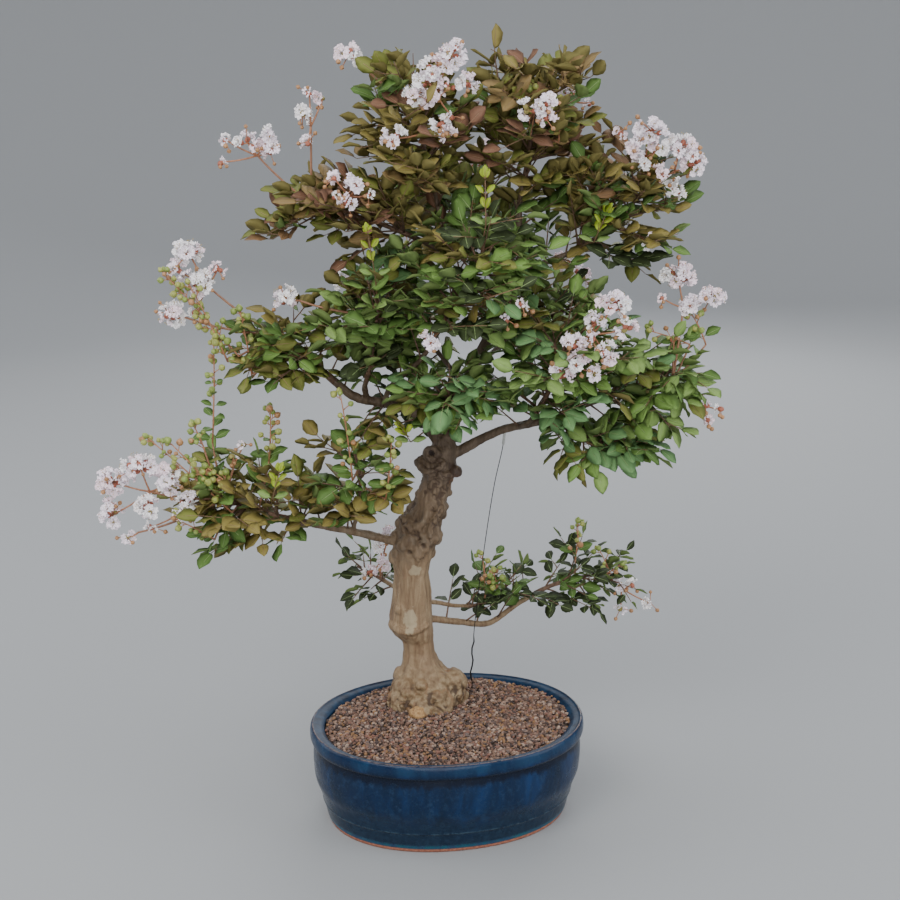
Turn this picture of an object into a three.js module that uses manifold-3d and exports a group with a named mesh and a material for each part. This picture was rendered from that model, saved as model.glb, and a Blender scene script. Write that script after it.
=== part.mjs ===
// A flowering crape myrtle bonsai in a glazed oval pot, in millimetres.
// The origin is the middle of the pot's flat underside, +Z is up, +X is the viewer's right
// and +Y points away from the viewer.
import * as THREE from "three";
import { mergeVertices } from "three/addons/utils/BufferGeometryUtils.js";
import Module from "manifold-3d";

const wasm = await Module();
wasm.setup();

// Space left between two pieces that touch.
const GAP = 0.3;
const UP = new THREE.Vector3(0, 0, 1);
const GOLDEN_ANGLE = Math.PI * (3 - Math.sqrt(5));

// The pot is an oval, turned a little on its stand, with a raised band under its lip.
const POT = {
  length: 307,
  width: 240,
  height: 110,
  turn: THREE.MathUtils.degToRad(12),
  roundness: 2.1,
  wall: 12,
  floor: 12,
  lip: 16,
  band: 15,
  foot: 19,
  bareFoot: 5,
  drainRadius: 8,
  drainSpacing: 110,
  segments: 34,
};

// The grit rises from the front edge to the back edge and towards the middle.
const SOIL = { frontEdge: 99, backEdge: 107, rise: 4.5, segments: 34, rings: 4 };

// The flat cut under the trunk stands on a level patch of grit, which is also as high as the grit gets.
const FOOT = { x: -24, y: 50, halfWidth: 52, halfDepth: 50, blend: 24, height: 108 };

// Sections of the trunk: height, middle from left to right, middle from front to back, half width.
const TRUNK_SECTIONS = [
  [108.3, -24, 50, 44],
  [120, -24, 50, 43],
  [133, -25, 50, 37],
  [145, -27, 50, 30],
  [155, -30, 50, 22],
  [169, -32, 50, 17.5],
  [182, -34, 50, 18],
  [193, -39, 49, 24],
  [212, -41, 48, 24],
  [236, -40, 48, 22],
  [264, -40, 46, 19.5],
  [284, -40, 45, 22.5],
  [303, -35, 45, 25],
  [326, -29, 44, 22.5],
  [345, -21, 43, 18],
  [372, -12, 41, 16.5],
  [387, -9, 40, 21],
  [399, -10, 40, 20],
  [411, -5, 39, 16.5],
  [422, -1, 38, 8],
  [431, -1, 38, 2],
];
const TRUNK = { sides: 12, footDepth: 0.84, depth: 0.94, lobes: 0.09, lobeTop: 170 };

// Swellings on the trunk: middle and radius. The first seven are roots that spread at the ground.
const KNOBS = [
  [6, 46, 131, 17],
  [2, 50, 114, 20],
  [-50, 32, 110, 23],
  [-14, 26, 108, 22],
  [-46, 74, 110, 22],
  [-4, 74, 110, 21],
  [-33, 11, 106, 12],
  [-57, 42, 203, 11],
  [-28, 25, 310, 9],
  [-33, 29, 401, 8],
  [10, 33, 391, 8],
  [-17, 23, 406, 10],
];
// The hollow in the old pruning cut on the last swelling.
const CUT_HOLLOW = { x: -18, y: 13, z: 408, radius: 5 };

// Limbs: what each grows from, its route from inside that piece to its tip, and its radius at both ends.
const LIMBS = {
  bough_low_left: {
    from: "trunk",
    route: [[-38, 43, 300], [-58, 38, 304], [-106, 20, 322], [-150, -1, 338]],
    radius: [6, 4],
  },
  bough_low_left_fork: {
    from: "bough_low_left",
    route: [[-103, 21, 321], [-101, 12, 332], [-97, 2, 345]],
    radius: [3.2, 2.4],
  },
  bough_low_back: {
    from: "trunk",
    route: [[-35, 50, 206], [-20, 62, 202], [14, 95, 185], [50, 125, 172], [82, 138, 190], [106, 143, 203]],
    radius: [5, 3],
  },
  bough_low_back_fork: {
    from: "trunk",
    route: [[-35, 55, 222], [-18, 68, 220], [8, 98, 204], [26, 112, 198]],
    radius: [3.2, 2.4],
  },
  bough_back_left: {
    from: "trunk",
    route: [[-44, 52, 232], [-56, 76, 232], [-74, 96, 236]],
    radius: [3.6, 2.6],
  },
  bough_left: {
    from: "trunk",
    route: [[-8, 41, 415], [-30, 36, 448], [-62, 30, 462], [-99, 22, 472], [-121, 15, 492]],
    radius: [7, 4.5],
  },
  bough_left_rise: {
    from: "bough_left",
    route: [[-84, 25, 468], [-88, 15, 481], [-85, 6, 494]],
    radius: [3.6, 2.8],
  },
  bough_front_rise: {
    from: "bough_left",
    route: [[-66, 28, 463], [-67, 12, 466], [-60, 1, 487], [-28, -12, 519], [-14, -20, 542], [-4, -25, 560]],
    radius: [3.4, 2.6],
  },
  bough_right: {
    from: "trunk",
    route: [[-2, 40, 399], [20, 38, 411], [41, 35, 424], [67, 25, 437], [104, 15, 448], [146, 10, 466], [164, 10, 473]],
    radius: [6.5, 3.4],
  },
  bough_right_front: {
    from: "bough_right",
    route: [[74, 23, 439], [84, 6, 446], [93, -8, 461]],
    radius: [3.6, 2.8],
  },
  bough_right_low: {
    from: "bough_right",
    route: [[110, 14, 450], [120, 5, 446], [128, -1, 443]],
    radius: [3, 2.4],
  },
  leader: {
    from: "trunk",
    route: [[0, 42, 408], [16, 55, 466], [37, 58, 515], [60, 55, 560], [77, 50, 602], [75, 52, 661], [80, 54, 692]],
    radius: [8, 3.4],
  },
  bough_upper_right: {
    from: "leader",
    route: [[77, 50, 602], [104, 53, 611], [131, 56, 621]],
    radius: [4.2, 3],
  },
  bough_upper_left: {
    from: "leader",
    route: [[76, 51, 630], [58, 44, 636], [3, 30, 626], [-36, 19, 643]],
    radius: [4.2, 2.8],
  },
  bough_upper_left_fork: {
    from: "bough_upper_left",
    route: [[3, 30, 626], [-6, 31, 654], [-13, 31, 688]],
    radius: [3, 2.2],
  },
  bough_top_back: {
    from: "trunk",
    route: [[-4, 42, 412], [-10, 62, 424], [-16, 78, 434]],
    radius: [3.6, 2.6],
  },
  bough_top_front: {
    from: "leader",
    route: [[8, 49, 440], [13, 26, 447], [10, 4, 459]],
    radius: [3.2, 2.4],
  },
  bough_back_right: {
    from: "leader",
    route: [[31, 58, 500], [48, 84, 506], [62, 105, 513]],
    radius: [3.8, 2.8],
  },
  bough_back_mid: {
    from: "leader",
    route: [[21, 56, 478], [3, 84, 491], [-12, 105, 505]],
    radius: [3.8, 2.8],
  },
  bough_back_high: {
    from: "leader",
    route: [[72, 51, 590], [67, 80, 612], [58, 98, 625]],
    radius: [3.6, 2.6],
  },
};

// Masses of foliage: the limb each grows from, the middle and the reach of its space, and its twigs.
const MASSES = {
  foliage_low_left: { limb: "bough_low_left", middle: [-216, -16, 364], reach: [93, 79, 65], twigs: 9 },
  foliage_low_mid: { limb: "bough_low_left_fork", middle: [-97, -10, 400], reach: [57, 73, 69], twigs: 8 },
  foliage_low_back_right: { limb: "bough_low_back", middle: [167, 150, 217], reach: [71, 62, 61], twigs: 7 },
  foliage_low_back: { limb: "bough_low_back_fork", middle: [60, 126, 214], reach: [69, 61, 44], twigs: 6 },
  foliage_back_left: { limb: "bough_back_left", middle: [-96, 112, 242], reach: [44, 53, 44], twigs: 6 },
  foliage_left: { limb: "bough_left", middle: [-165, 5, 531], reach: [65, 73, 55], twigs: 8 },
  foliage_mid_left: { limb: "bough_left_rise", middle: [-74, 8, 564], reach: [69, 93, 81], twigs: 8 },
  foliage_front: { limb: "bough_front_rise", middle: [30, -42, 617], reach: [89, 89, 79], twigs: 9 },
  foliage_right: { limb: "bough_right", middle: [221, 10, 488], reach: [67, 77, 67], twigs: 8 },
  foliage_front_right: { limb: "bough_right_front", middle: [113, -32, 526], reach: [91, 95, 77], twigs: 9 },
  foliage_hanging: { limb: "bough_right_low", middle: [164, -6, 430], reach: [69, 63, 44], twigs: 7 },
  foliage_top: { limb: "leader", middle: [88, 45, 766], reach: [83, 105, 83], twigs: 10 },
  foliage_upper_right: { limb: "bough_upper_right", middle: [189, 58, 676], reach: [77, 95, 83], twigs: 9 },
  foliage_upper_left: { limb: "bough_upper_left", middle: [-116, 20, 668], reach: [91, 91, 55], twigs: 8 },
  foliage_top_left: { limb: "bough_upper_left_fork", middle: [-33, 30, 756], reach: [75, 101, 79], twigs: 9 },
  foliage_neck_back: { limb: "bough_top_back", middle: [-28, 104, 448], reach: [65, 53, 42], twigs: 6 },
  foliage_neck_front: { limb: "bough_top_front", middle: [4, -42, 487], reach: [61, 63, 50], twigs: 7 },
  foliage_back_right: { limb: "bough_back_right", middle: [116, 152, 532], reach: [87, 77, 73], twigs: 8 },
  foliage_back_mid: { limb: "bough_back_mid", middle: [-60, 148, 538], reach: [85, 75, 73], twigs: 8 },
  foliage_back_high: { limb: "bough_back_high", middle: [20, 150, 662], reach: [95, 79, 79], twigs: 8 },
};

// Heads of blossom: the mass each grows from, its tip and its length.
const HEADS = [
  ["foliage_low_left", [-346, -36, 396], 66],
  ["foliage_low_left", [-340, -34, 350], 54],
  ["foliage_low_left", [-284, -44, 382], 22],
  ["foliage_left", [-262, -8, 632], 40],
  ["foliage_left", [-282, -4, 566], 36],
  ["foliage_upper_left", [-220, 10, 744], 44],
  ["foliage_upper_left", [-128, 20, 788], 22],
  ["foliage_upper_left", [-98, -62, 704], 22],
  ["foliage_top_left", [-97, 30, 826], 4],
  ["foliage_top_left", [-2, -34, 828], 84],
  ["foliage_top", [90, -46, 776], 22],
  ["foliage_top", [124, 40, 796], 4],
  ["foliage_upper_right", [238, 12, 718], 56],
  ["foliage_upper_right", [212, 30, 744], 42],
  ["foliage_upper_right", [250, 66, 668], 4],
  ["foliage_right", [240, 20, 600], 22],
  ["foliage_right", [276, 20, 580], 4],
  ["foliage_right", [279, 0, 458], 4],
  ["foliage_front_right", [164, -86, 580], 36],
  ["foliage_front_right", [126, -96, 540], 36],
  ["foliage_low_back_right", [230, 150, 204], 22],
  ["foliage_back_left", [-72, 100, 276], 4],
  ["foliage_back_right", [156, 228, 568], 22],
  ["foliage_back_mid", [-118, 210, 566], 22],
  ["foliage_back_high", [40, 222, 712], 22],
];

// Shoots past the leafy crown: the mass each grows from, its tip, and its leaf pairs and buds.
const SHOOTS = [
  ["foliage_top", [50, 46, 818], { pairs: 1, buds: 0 }],
  ["foliage_top", [128, 56, 776], { pairs: 1, buds: 0 }],
  ["foliage_low_left", [-246, -20, 530], { pairs: 2, buds: 4 }],
  ["foliage_low_left", [-196, 10, 446], { pairs: 1, buds: 2 }],
  ["foliage_low_left", [-284, -50, 424], { pairs: 0, buds: 3 }],
  ["foliage_left", [-232, -34, 500], { pairs: 0, buds: 3 }],
  ["foliage_low_mid", [-112, -62, 470], { pairs: 0, buds: 3 }],
  ["foliage_low_back_right", [152, 140, 284], { pairs: 0, buds: 3 }],
  ["foliage_low_back", [44, 108, 266], { pairs: 0, buds: 3 }],
];

const LEAF = {
  length: 58,
  width: 0.62,
  thickness: 2.2,
  cup: 4,
  spread: 0.9,
  forward: 0.55,
  droop: 1.1,
  facing: 1,
  sizes: [1, 0.82, 0.66],
};
const BLOOM = { radius: 16, depth: 0.8, sides: 5, spacing: 19, offAxis: 0.35 };
const BUD = { radius: 5.5, offAxis: 0.75, from: 0.6 };
const TWIG = { stem: 2.4, tip: 1.1, side: 1.7, shoot: 1.5 };
// How far leaves and twigs stay from the edge of their space and from a limb.
const CLEAR = { edge: 0.4, limb: 1.2 };

// The guy wire runs down from the right bough to the grit behind the trunk.
const WIRE = {
  holds: "bough_right",
  route: [[62, 27, 434], [60, 32, 414], [52, 48, 368], [42, 66, 290], [31, 86, 180], [27, 97, 98]],
  radius: 0.6,
  sides: 5,
  steps: 8,
};

const COLOURS = {
  glaze: { color: "#1c3f73", roughness: 0.28, metalness: 0 },
  grit: { color: "#8a7160", roughness: 0.95, metalness: 0 },
  bark: { color: "#a8907a", roughness: 0.75, metalness: 0 },
  twigBark: { color: "#7d6450", roughness: 0.8, metalness: 0 },
  leaf: { color: "#4c6b2c", roughness: 0.55, metalness: 0 },
  wire: { color: "#1b1b1b", roughness: 0.5, metalness: 0.6 },
};

const vector = (xyz) => new THREE.Vector3(...xyz);

// Draws numbers from 0 to 1 in an order fixed by the seed.
function dice(seed) {
  let state = seed >>> 0;
  return () => {
    state = (state + 0x6d2b79f5) >>> 0;
    let t = Math.imul(state ^ (state >>> 15), state | 1);
    t ^= t + Math.imul(t ^ (t >>> 7), t | 61);
    return ((t ^ (t >>> 14)) >>> 0) / 4294967296;
  };
}

// Solids and meshes

function solidFrom(geometry) {
  geometry.deleteAttribute("normal");
  geometry.deleteAttribute("uv");
  const merged = mergeVertices(geometry, 1e-4);
  return new wasm.Manifold(
    new wasm.Mesh({
      numProp: 3,
      vertProperties: new Float32Array(merged.attributes.position.array),
      triVerts: new Uint32Array(merged.index.array),
    }),
  );
}

// Joins solids into one body and lets go of loose scraps and sealed hollows.
function fused(solids) {
  const joined = solids.length > 1 ? wasm.Manifold.union(solids) : solids[0];
  const bodies = joined.decompose();
  return bodies.reduce((best, body) => (body.volume() > best.volume() ? body : best));
}

// Whether two solids cross each other.
function cross(one, other) {
  const [a, b] = [one.boundingBox(), other.boundingBox()];
  const apart = [0, 1, 2].some((axis) => a.max[axis] < b.min[axis] || b.max[axis] < a.min[axis]);
  return !apart && !one.intersect(other).isEmpty();
}

// Adds a solid to the pieces unless it crosses one other than those it springs from.
function addClear(pieces, solid, parents) {
  const room = pieces.every((piece) => parents.includes(piece) || !cross(piece, solid));
  if (room) pieces.push(solid);
  return room;
}

function meshFrom(name, solid, colour) {
  const { numProp, vertProperties, triVerts } = solid.getMesh();
  const positions = new Float32Array((vertProperties.length / numProp) * 3);
  for (let i = 0; i < positions.length / 3; i++) {
    positions.set(vertProperties.subarray(i * numProp, i * numProp + 3), i * 3);
  }
  const geometry = new THREE.BufferGeometry();
  geometry.setAttribute("position", new THREE.BufferAttribute(positions, 3));
  geometry.setIndex(new THREE.BufferAttribute(triVerts, 1));
  geometry.computeVertexNormals();
  const material = new THREE.MeshStandardMaterial({ ...COLOURS[colour], flatShading: true });
  const mesh = new THREE.Mesh(geometry, material);
  mesh.name = name;
  return mesh;
}

// Moves every vertex of a geometry by a function of its place.
function reshape(geometry, move) {
  const position = geometry.attributes.position;
  const point = new THREE.Vector3();
  for (let i = 0; i < position.count; i++) {
    point.fromBufferAttribute(position, i);
    move(point);
    position.setXYZ(i, point.x, point.y, point.z);
  }
  return geometry;
}

function ball(middle, radius, detail) {
  const geometry = new THREE.IcosahedronGeometry(radius, detail);
  return solidFrom(geometry.translate(...middle));
}

// A closed tapering tube along a curve, or along its first part, with flat ends.
function tube(curve, radiusAt, sides, steps, upTo = 1) {
  const frames = curve.computeFrenetFrames(steps, false);
  const geometry = new THREE.CylinderGeometry(1, 1, 1, sides, steps);
  return reshape(geometry, (point) => {
    const along = point.y + 0.5;
    const ring = Math.round(along * steps);
    const radius = radiusAt(along);
    const across = frames.normals[ring].clone().multiplyScalar(point.x * radius);
    const side = frames.binormals[ring].clone().multiplyScalar(-point.z * radius);
    point.copy(curve.getPointAt(along * upTo)).add(across).add(side);
  });
}

// A three-sided twig that tapers to a point.
function spike(start, end, radius) {
  const way = end.clone().sub(start);
  const geometry = new THREE.ConeGeometry(radius, way.length(), 3, 1);
  const turn = new THREE.Quaternion().setFromUnitVectors(new THREE.Vector3(0, 1, 0), way.clone().normalize());
  geometry.applyQuaternion(turn);
  return solidFrom(geometry.translate(...start.clone().add(end).multiplyScalar(0.5).toArray()));
}

// Pot and grit

// Turns a round plan into the pot's oval one: every ring keeps the same distance from the rim all round.
function ovalPlan(point) {
  const reach = Math.hypot(point.x, point.y);
  if (reach < 1e-6) return;
  const narrower = (POT.length - POT.width) / 2;
  const even = POT.length / 3;
  const across = reach > even ? reach - narrower : (reach * (even - narrower)) / even;
  const angle = Math.atan2(point.y, point.x);
  const bend = (value) => Math.sign(value) * Math.abs(value) ** (2 / POT.roundness);
  const x = reach * bend(Math.cos(angle));
  const y = across * bend(Math.sin(angle));
  const { turn } = POT;
  point.x = x * Math.cos(turn) - y * Math.sin(turn);
  point.y = x * Math.sin(turn) + y * Math.cos(turn);
}

// A ring or disc in the pot's oval plan, from a profile of reach and height.
function ovalSolid(profile, segments) {
  const points = profile.map(([reach, height]) => new THREE.Vector2(reach, height));
  const geometry = new THREE.LatheGeometry(points, segments);
  geometry.rotateX(Math.PI / 2);
  return reshape(geometry, ovalPlan);
}

function innerReach(height) {
  const rim = POT.length / 2 - POT.lip;
  const atFloor = POT.length / 2 - POT.foot - POT.wall;
  const along = (height - POT.floor) / (POT.height - 6 - POT.floor);
  return THREE.MathUtils.lerp(atFloor, rim, Math.sin((Math.min(along, 1) * Math.PI) / 2));
}

function makePot() {
  const rim = POT.length / 2;
  const foot = rim - POT.foot;
  const { height, floor, bareFoot, band } = POT;
  const bandFoot = height - 1 - band;
  const outside = [
    [foot - 2, 0],
    [foot, bareFoot - 1],
    [foot + 6, 24],
    [rim - 5, 50],
    [rim - 3.2, 72],
    [rim - 5, bandFoot - 3],
    [rim - 0.8, bandFoot + 1],
    [rim, height - 8],
    [rim - 1.5, height - 1],
    [rim - 4, height],
    [rim - POT.lip, height - 6],
  ];
  const inside = [0.55, 0].map((share) => {
    const level = THREE.MathUtils.lerp(floor, height - 6, share);
    return [innerReach(level), level];
  });
  const profile = [[0, 0], ...outside, ...inside, [0, floor]];
  let pot = solidFrom(ovalSolid(profile, POT.segments));
  for (const end of [-1, 1]) {
    const hole = new THREE.CylinderGeometry(POT.drainRadius, POT.drainRadius, 4 * floor, 12);
    hole.rotateX(Math.PI / 2);
    const reach = (end * POT.drainSpacing) / 2;
    hole.translate(reach * Math.cos(POT.turn), reach * Math.sin(POT.turn), 0);
    pot = pot.subtract(solidFrom(hole));
  }
  return fused([pot]);
}

// Height of the grit at a place, with the level patch blended in.
function gritHeight(x, y) {
  const across = POT.width / 2 - POT.lip;
  const reach = Math.hypot(x / (POT.length / 2 - POT.lip), y / across);
  const edge = THREE.MathUtils.mapLinear(y, -across, across, SOIL.frontEdge, SOIL.backEdge);
  const mound = Math.min(edge + SOIL.rise * Math.max(0, 1 - reach ** 2), FOOT.height);
  const away = Math.hypot((x - FOOT.x) / FOOT.halfWidth, (y - FOOT.y) / FOOT.halfDepth);
  const past = (away - 1) * (FOOT.halfDepth / FOOT.blend);
  return THREE.MathUtils.lerp(FOOT.height, mound, THREE.MathUtils.smoothstep(past, 0, 1));
}

function makeGrit() {
  const bottom = POT.floor + GAP;
  const top = SOIL.frontEdge - 1;
  const profile = [[0, bottom]];
  for (const share of [0, 0.55, 1]) {
    const level = THREE.MathUtils.lerp(bottom, top, share);
    profile.push([innerReach(level) - 2 * GAP, level]);
  }
  for (let ring = SOIL.rings; ring >= 0; ring--) {
    profile.push([((innerReach(top) - 2 * GAP) * ring) / SOIL.rings, POT.height]);
  }
  const geometry = ovalSolid(profile, SOIL.segments);
  return solidFrom(
    reshape(geometry, (point) => {
      if (point.z > top + 0.5) point.z = gritHeight(point.x, point.y);
    }),
  );
}

// Trunk and limbs

// The trunk, or with extra a slightly fatter copy that limbs are cut clear of.
function makeTrunk(extra) {
  const steps = TRUNK_SECTIONS.length - 1;
  const geometry = new THREE.CylinderGeometry(1, 1, 1, TRUNK.sides, steps);
  reshape(geometry, (point) => {
    const ring = Math.round((point.y + 0.5) * steps);
    const [height, middleX, middleY, halfWidth] = TRUNK_SECTIONS[ring];
    const angle = Math.atan2(-point.z, point.x);
    const fade = THREE.MathUtils.clamp((TRUNK.lobeTop - height) / (TRUNK.lobeTop - FOOT.height), 0, 1);
    const lobe = 1 + TRUNK.lobes * (fade + 0.25) * Math.cos(3 * angle + 0.6 + height / 60);
    const depth = THREE.MathUtils.lerp(TRUNK.depth, TRUNK.footDepth, fade);
    const x = middleX + point.x * (halfWidth + extra) * lobe;
    const y = middleY - point.z * (halfWidth * depth + extra) * lobe;
    point.set(x, y, height);
  });
  const knobs = KNOBS.map(([x, y, z, radius]) => ball([x, y, z], radius + extra, radius > 12 ? 1 : 0));
  const hollow = ball([CUT_HOLLOW.x, CUT_HOLLOW.y, CUT_HOLLOW.z], CUT_HOLLOW.radius - extra, 0);
  const below = new THREE.BoxGeometry(POT.length, POT.width, 100);
  below.translate(0, 0, FOOT.height + GAP - 50);
  return fused([fused([solidFrom(geometry), ...knobs]).subtract(hollow).subtract(solidFrom(below))]);
}

function limbCurve(name) {
  return new THREE.CatmullRomCurve3(LIMBS[name].route.map(vector), false, "centripetal");
}

function limbRadius(name, along) {
  const [thick, thin] = LIMBS[name].radius;
  return THREE.MathUtils.lerp(thick, thin, along ** 0.8);
}

function makeLimb(name, extra) {
  const curve = limbCurve(name);
  const steps = Math.max(3, Math.round(curve.getLength() / 28));
  const sides = LIMBS[name].radius[0] > 4.5 ? 7 : 5;
  return solidFrom(tube(curve, (along) => limbRadius(name, along) + extra, sides, steps));
}

// A limb, cut clear of the piece it grows from.
function clearLimb(name) {
  const parent = LIMBS[name].from;
  const cutter = parent === "trunk" ? makeTrunk(GAP) : makeLimb(parent, GAP);
  return fused([makeLimb(name, 0).subtract(cutter)]);
}

// The middle line of every limb and of the trunk and wire, as places with a radius.
function bareWood() {
  const wood = [];
  for (let i = 0; i + 1 < TRUNK_SECTIONS.length; i++) {
    const [z0, x0, y0, r0] = TRUNK_SECTIONS[i];
    const [z1, x1, y1, r1] = TRUNK_SECTIONS[i + 1];
    for (const share of [0, 0.5]) {
      const place = vector([x0, y0, z0]).lerp(vector([x1, y1, z1]), share);
      wood.push({ place, radius: THREE.MathUtils.lerp(r0, r1, share) * 1.1 });
    }
  }
  for (const [x, y, z, radius] of KNOBS) wood.push({ place: vector([x, y, z]), radius });
  for (const name of Object.keys(LIMBS)) {
    const curve = limbCurve(name);
    const steps = Math.ceil(curve.getLength() / 4);
    for (let i = 0; i <= steps; i++) {
      const along = i / steps;
      wood.push({ place: curve.getPointAt(along), radius: limbRadius(name, along) });
    }
  }
  const wire = wireCurve();
  for (let i = 0; i <= 100; i++) wood.push({ place: wire.getPointAt(i / 100), radius: 2 });
  return wood;
}

// Foliage

const WOOD = bareWood();

// Each mass keeps to its ellipsoid and to its own side of a plane between it and each neighbour.
function spaceOf(name) {
  const middle = vector(MASSES[name].middle);
  const reach = vector(MASSES[name].reach);
  const walls = [];
  for (const [other, mass] of Object.entries(MASSES)) {
    if (other === name) continue;
    const away = vector(mass.middle).sub(middle);
    const distance = away.length();
    away.normalize();
    const mine = away.clone().multiply(reach).length();
    const theirs = away.clone().multiply(vector(mass.reach)).length();
    const edge = middle.clone().addScaledVector(away, (distance * mine) / (mine + theirs));
    walls.push({ away, edge: away.dot(edge), middle: vector(mass.middle), reach: vector(mass.reach) });
  }
  return { middle, reach, walls };
}

// Whether all points of a small convex piece lie in the mass's ellipsoid, or anywhere for a shoot.
function insideReach(space, points) {
  return points.every((point) => point.clone().sub(space.middle).divide(space.reach).length() < 1);
}

// Whether a small convex piece stays on this mass's side of its walls, or right outside the neighbour.
function insideWalls(space, points) {
  const centre = points.reduce((sum, point) => sum.add(point), new THREE.Vector3()).divideScalar(points.length);
  const radius = Math.max(...points.map((point) => point.distanceTo(centre))) + CLEAR.edge;
  return space.walls.every(({ away, edge, middle, reach }) => {
    if (points.every((point) => away.dot(point) < edge - CLEAR.edge)) return true;
    const outside = centre.clone().sub(middle).divide(reach).length() - 1;
    return outside * Math.min(...reach.toArray()) > radius;
  });
}

// Whether the straight line between two points, this thick, stays clear of the trunk, limbs and wire.
function clearOfWood(start, end, radius) {
  const line = new THREE.Line3(start, end);
  const near = new THREE.Vector3();
  return WOOD.every(({ place, radius: thick }) => {
    line.closestPointToPoint(place, true, near);
    return near.distanceTo(place) > thick + radius + CLEAR.limb;
  });
}

// The corners of a leaf: two raised sides, its tip, the keel under its middle and its root.
function leafPoints(root, way, up, length) {
  const side = way.clone().cross(up).normalize();
  const face = side.clone().cross(way).normalize();
  const at = (along, across, lift) =>
    root.clone().addScaledVector(way, along * length).addScaledVector(side, across).addScaledVector(face, lift);
  const half = (LEAF.width * length) / 2;
  return {
    sides: [at(0.48, -half, LEAF.cup), at(0.48, half, LEAF.cup)],
    spine: [at(1, 0, 0), at(0.45, 0, -LEAF.thickness), at(0, 0, 0)],
  };
}

// A leaf's solid has two upper faces that meet at the midrib and four that meet at the keel.
function leafSolid({ sides, spine }) {
  const geometry = new THREE.SphereGeometry(1, spine.length, 2);
  return solidFrom(
    reshape(geometry, (point) => {
      if (Math.abs(point.y) > 0.5) return point.copy(sides[point.y > 0 ? 0 : 1]);
      const turn = Math.round((Math.atan2(point.z, -point.x) / (2 * Math.PI)) * spine.length);
      return point.copy(spine[(turn + spine.length) % spine.length]);
    }),
  );
}

// The stem runs from the limb's tip through the middle of the mass towards its far side.
function stemCurve(name) {
  const { limb, middle } = MASSES[name];
  const curve = limbCurve(limb);
  const way = curve.getTangentAt(1);
  const start = curve.getPointAt(1).addScaledVector(way, GAP);
  const far = vector(middle).add(vector(middle).sub(start).multiplyScalar(0.45));
  const bend = start.clone().addScaledVector(way, start.distanceTo(far) * 0.45);
  return new THREE.QuadraticBezierCurve3(start, bend, far);
}

// Where a twig that aims at a target leaves the stem: a little behind the target's nearest place.
function twigStart(stem, target) {
  let nearest = 0;
  for (let i = 0; i <= 20; i++) {
    const along = i / 20;
    const closer = stem.getPoint(along).distanceTo(target) < stem.getPoint(nearest).distanceTo(target);
    if (closer) nearest = along;
  }
  return stem.getPoint(THREE.MathUtils.clamp(nearest - 0.25, 0.12, 0.9));
}

// Tips of twigs are spread evenly over the surface of the mass.
function twigTarget(space, index, count, roll) {
  const height = 1 - (2 * index + 1) / count;
  const angle = index * GOLDEN_ANGLE + roll() * 0.8;
  const round = Math.sqrt(1 - height * height);
  const out = new THREE.Vector3(round * Math.cos(angle), round * Math.sin(angle), height);
  const reach = space.reach.clone().subScalar(LEAF.length * (0.45 + 0.2 * roll()));
  return out.multiply(reach).add(space.middle);
}

// Adds a leaf where the mass has room for it, smaller where a full one doesn't fit.
function addLeaf(pieces, space, twig, root, way, up, length) {
  return LEAF.sizes.some((size) => {
    const leaf = leafPoints(root, way, up, size * length);
    const corners = [...leaf.sides, ...leaf.spine];
    const fits = insideReach(space, corners) || space.anywhere;
    if (!fits || !insideWalls(space, corners)) return false;
    if (!clearOfWood(root, leaf.spine[0], (LEAF.width * size * length) / 4)) return false;
    return addClear(pieces, leafSolid(leaf), [twig]);
  });
}

// A pair of leaves on a twig, one to each side, or one leaf at its tip.
function addLeaves(pieces, space, twig, root, way, count, roll) {
  const side = way.clone().cross(UP).normalize();
  for (let i = 0; i < count; i++) {
    const hand = count === 1 ? 0 : 1 - 2 * i;
    const lean = way.clone().multiplyScalar(count === 1 ? 1 : LEAF.forward);
    lean.addScaledVector(side, hand * LEAF.spread).addScaledVector(UP, 0.25 - LEAF.droop * roll()).normalize();
    const out = root.clone().sub(space.middle).setZ(0).normalize();
    const up = UP.clone().addScaledVector(out, LEAF.facing).addScaledVector(side, 0.8 * (roll() - 0.5));
    addLeaf(pieces, space, twig, root, lean, up, LEAF.length * (0.9 + 0.2 * roll()));
  }
}

// Twigs that branch off the stem, each with pairs of leaves along it and one leaf at its tip.
function addTwigs(pieces, name, stem, space, roll) {
  const { twigs } = MASSES[name];
  for (let i = 0; i < twigs; i++) {
    const target = twigTarget(space, i, twigs, roll);
    const start = twigStart(stem, target);
    for (const share of [1, 0.8, 0.6, 0.45]) {
      const end = start.clone().lerp(target, share);
      const room = insideReach(space, [end]) && insideWalls(space, [start, end]);
      if (!room || !clearOfWood(start, end, TWIG.side)) continue;
      const twig = spike(start, end, TWIG.side);
      if (!addClear(pieces, twig, [pieces[0]])) continue;
      const way = end.clone().sub(start).normalize();
      addLeaves(pieces, space, twig, start.clone().lerp(end, 0.93), way, 1, roll);
      addLeaves(pieces, space, twig, start.clone().lerp(end, 0.72), way, 2, roll);
      addLeaves(pieces, space, twig, start.clone().lerp(end, 0.4), way, 2, roll);
      break;
    }
  }
}

// The curve of a long shoot, which leaves the stem and rises towards its tip.
function shootCurve(stem, tip) {
  const start = twigStart(stem, tip);
  const bend = start.clone().lerp(tip, 0.55).addScaledVector(UP, -0.06 * start.distanceTo(tip));
  return new THREE.QuadraticBezierCurve3(start, bend, tip);
}

function shootTube(curve, upTo) {
  return solidFrom(tube(curve, (along) => THREE.MathUtils.lerp(TWIG.shoot, TWIG.tip, along), 3, 2, upTo));
}

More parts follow.
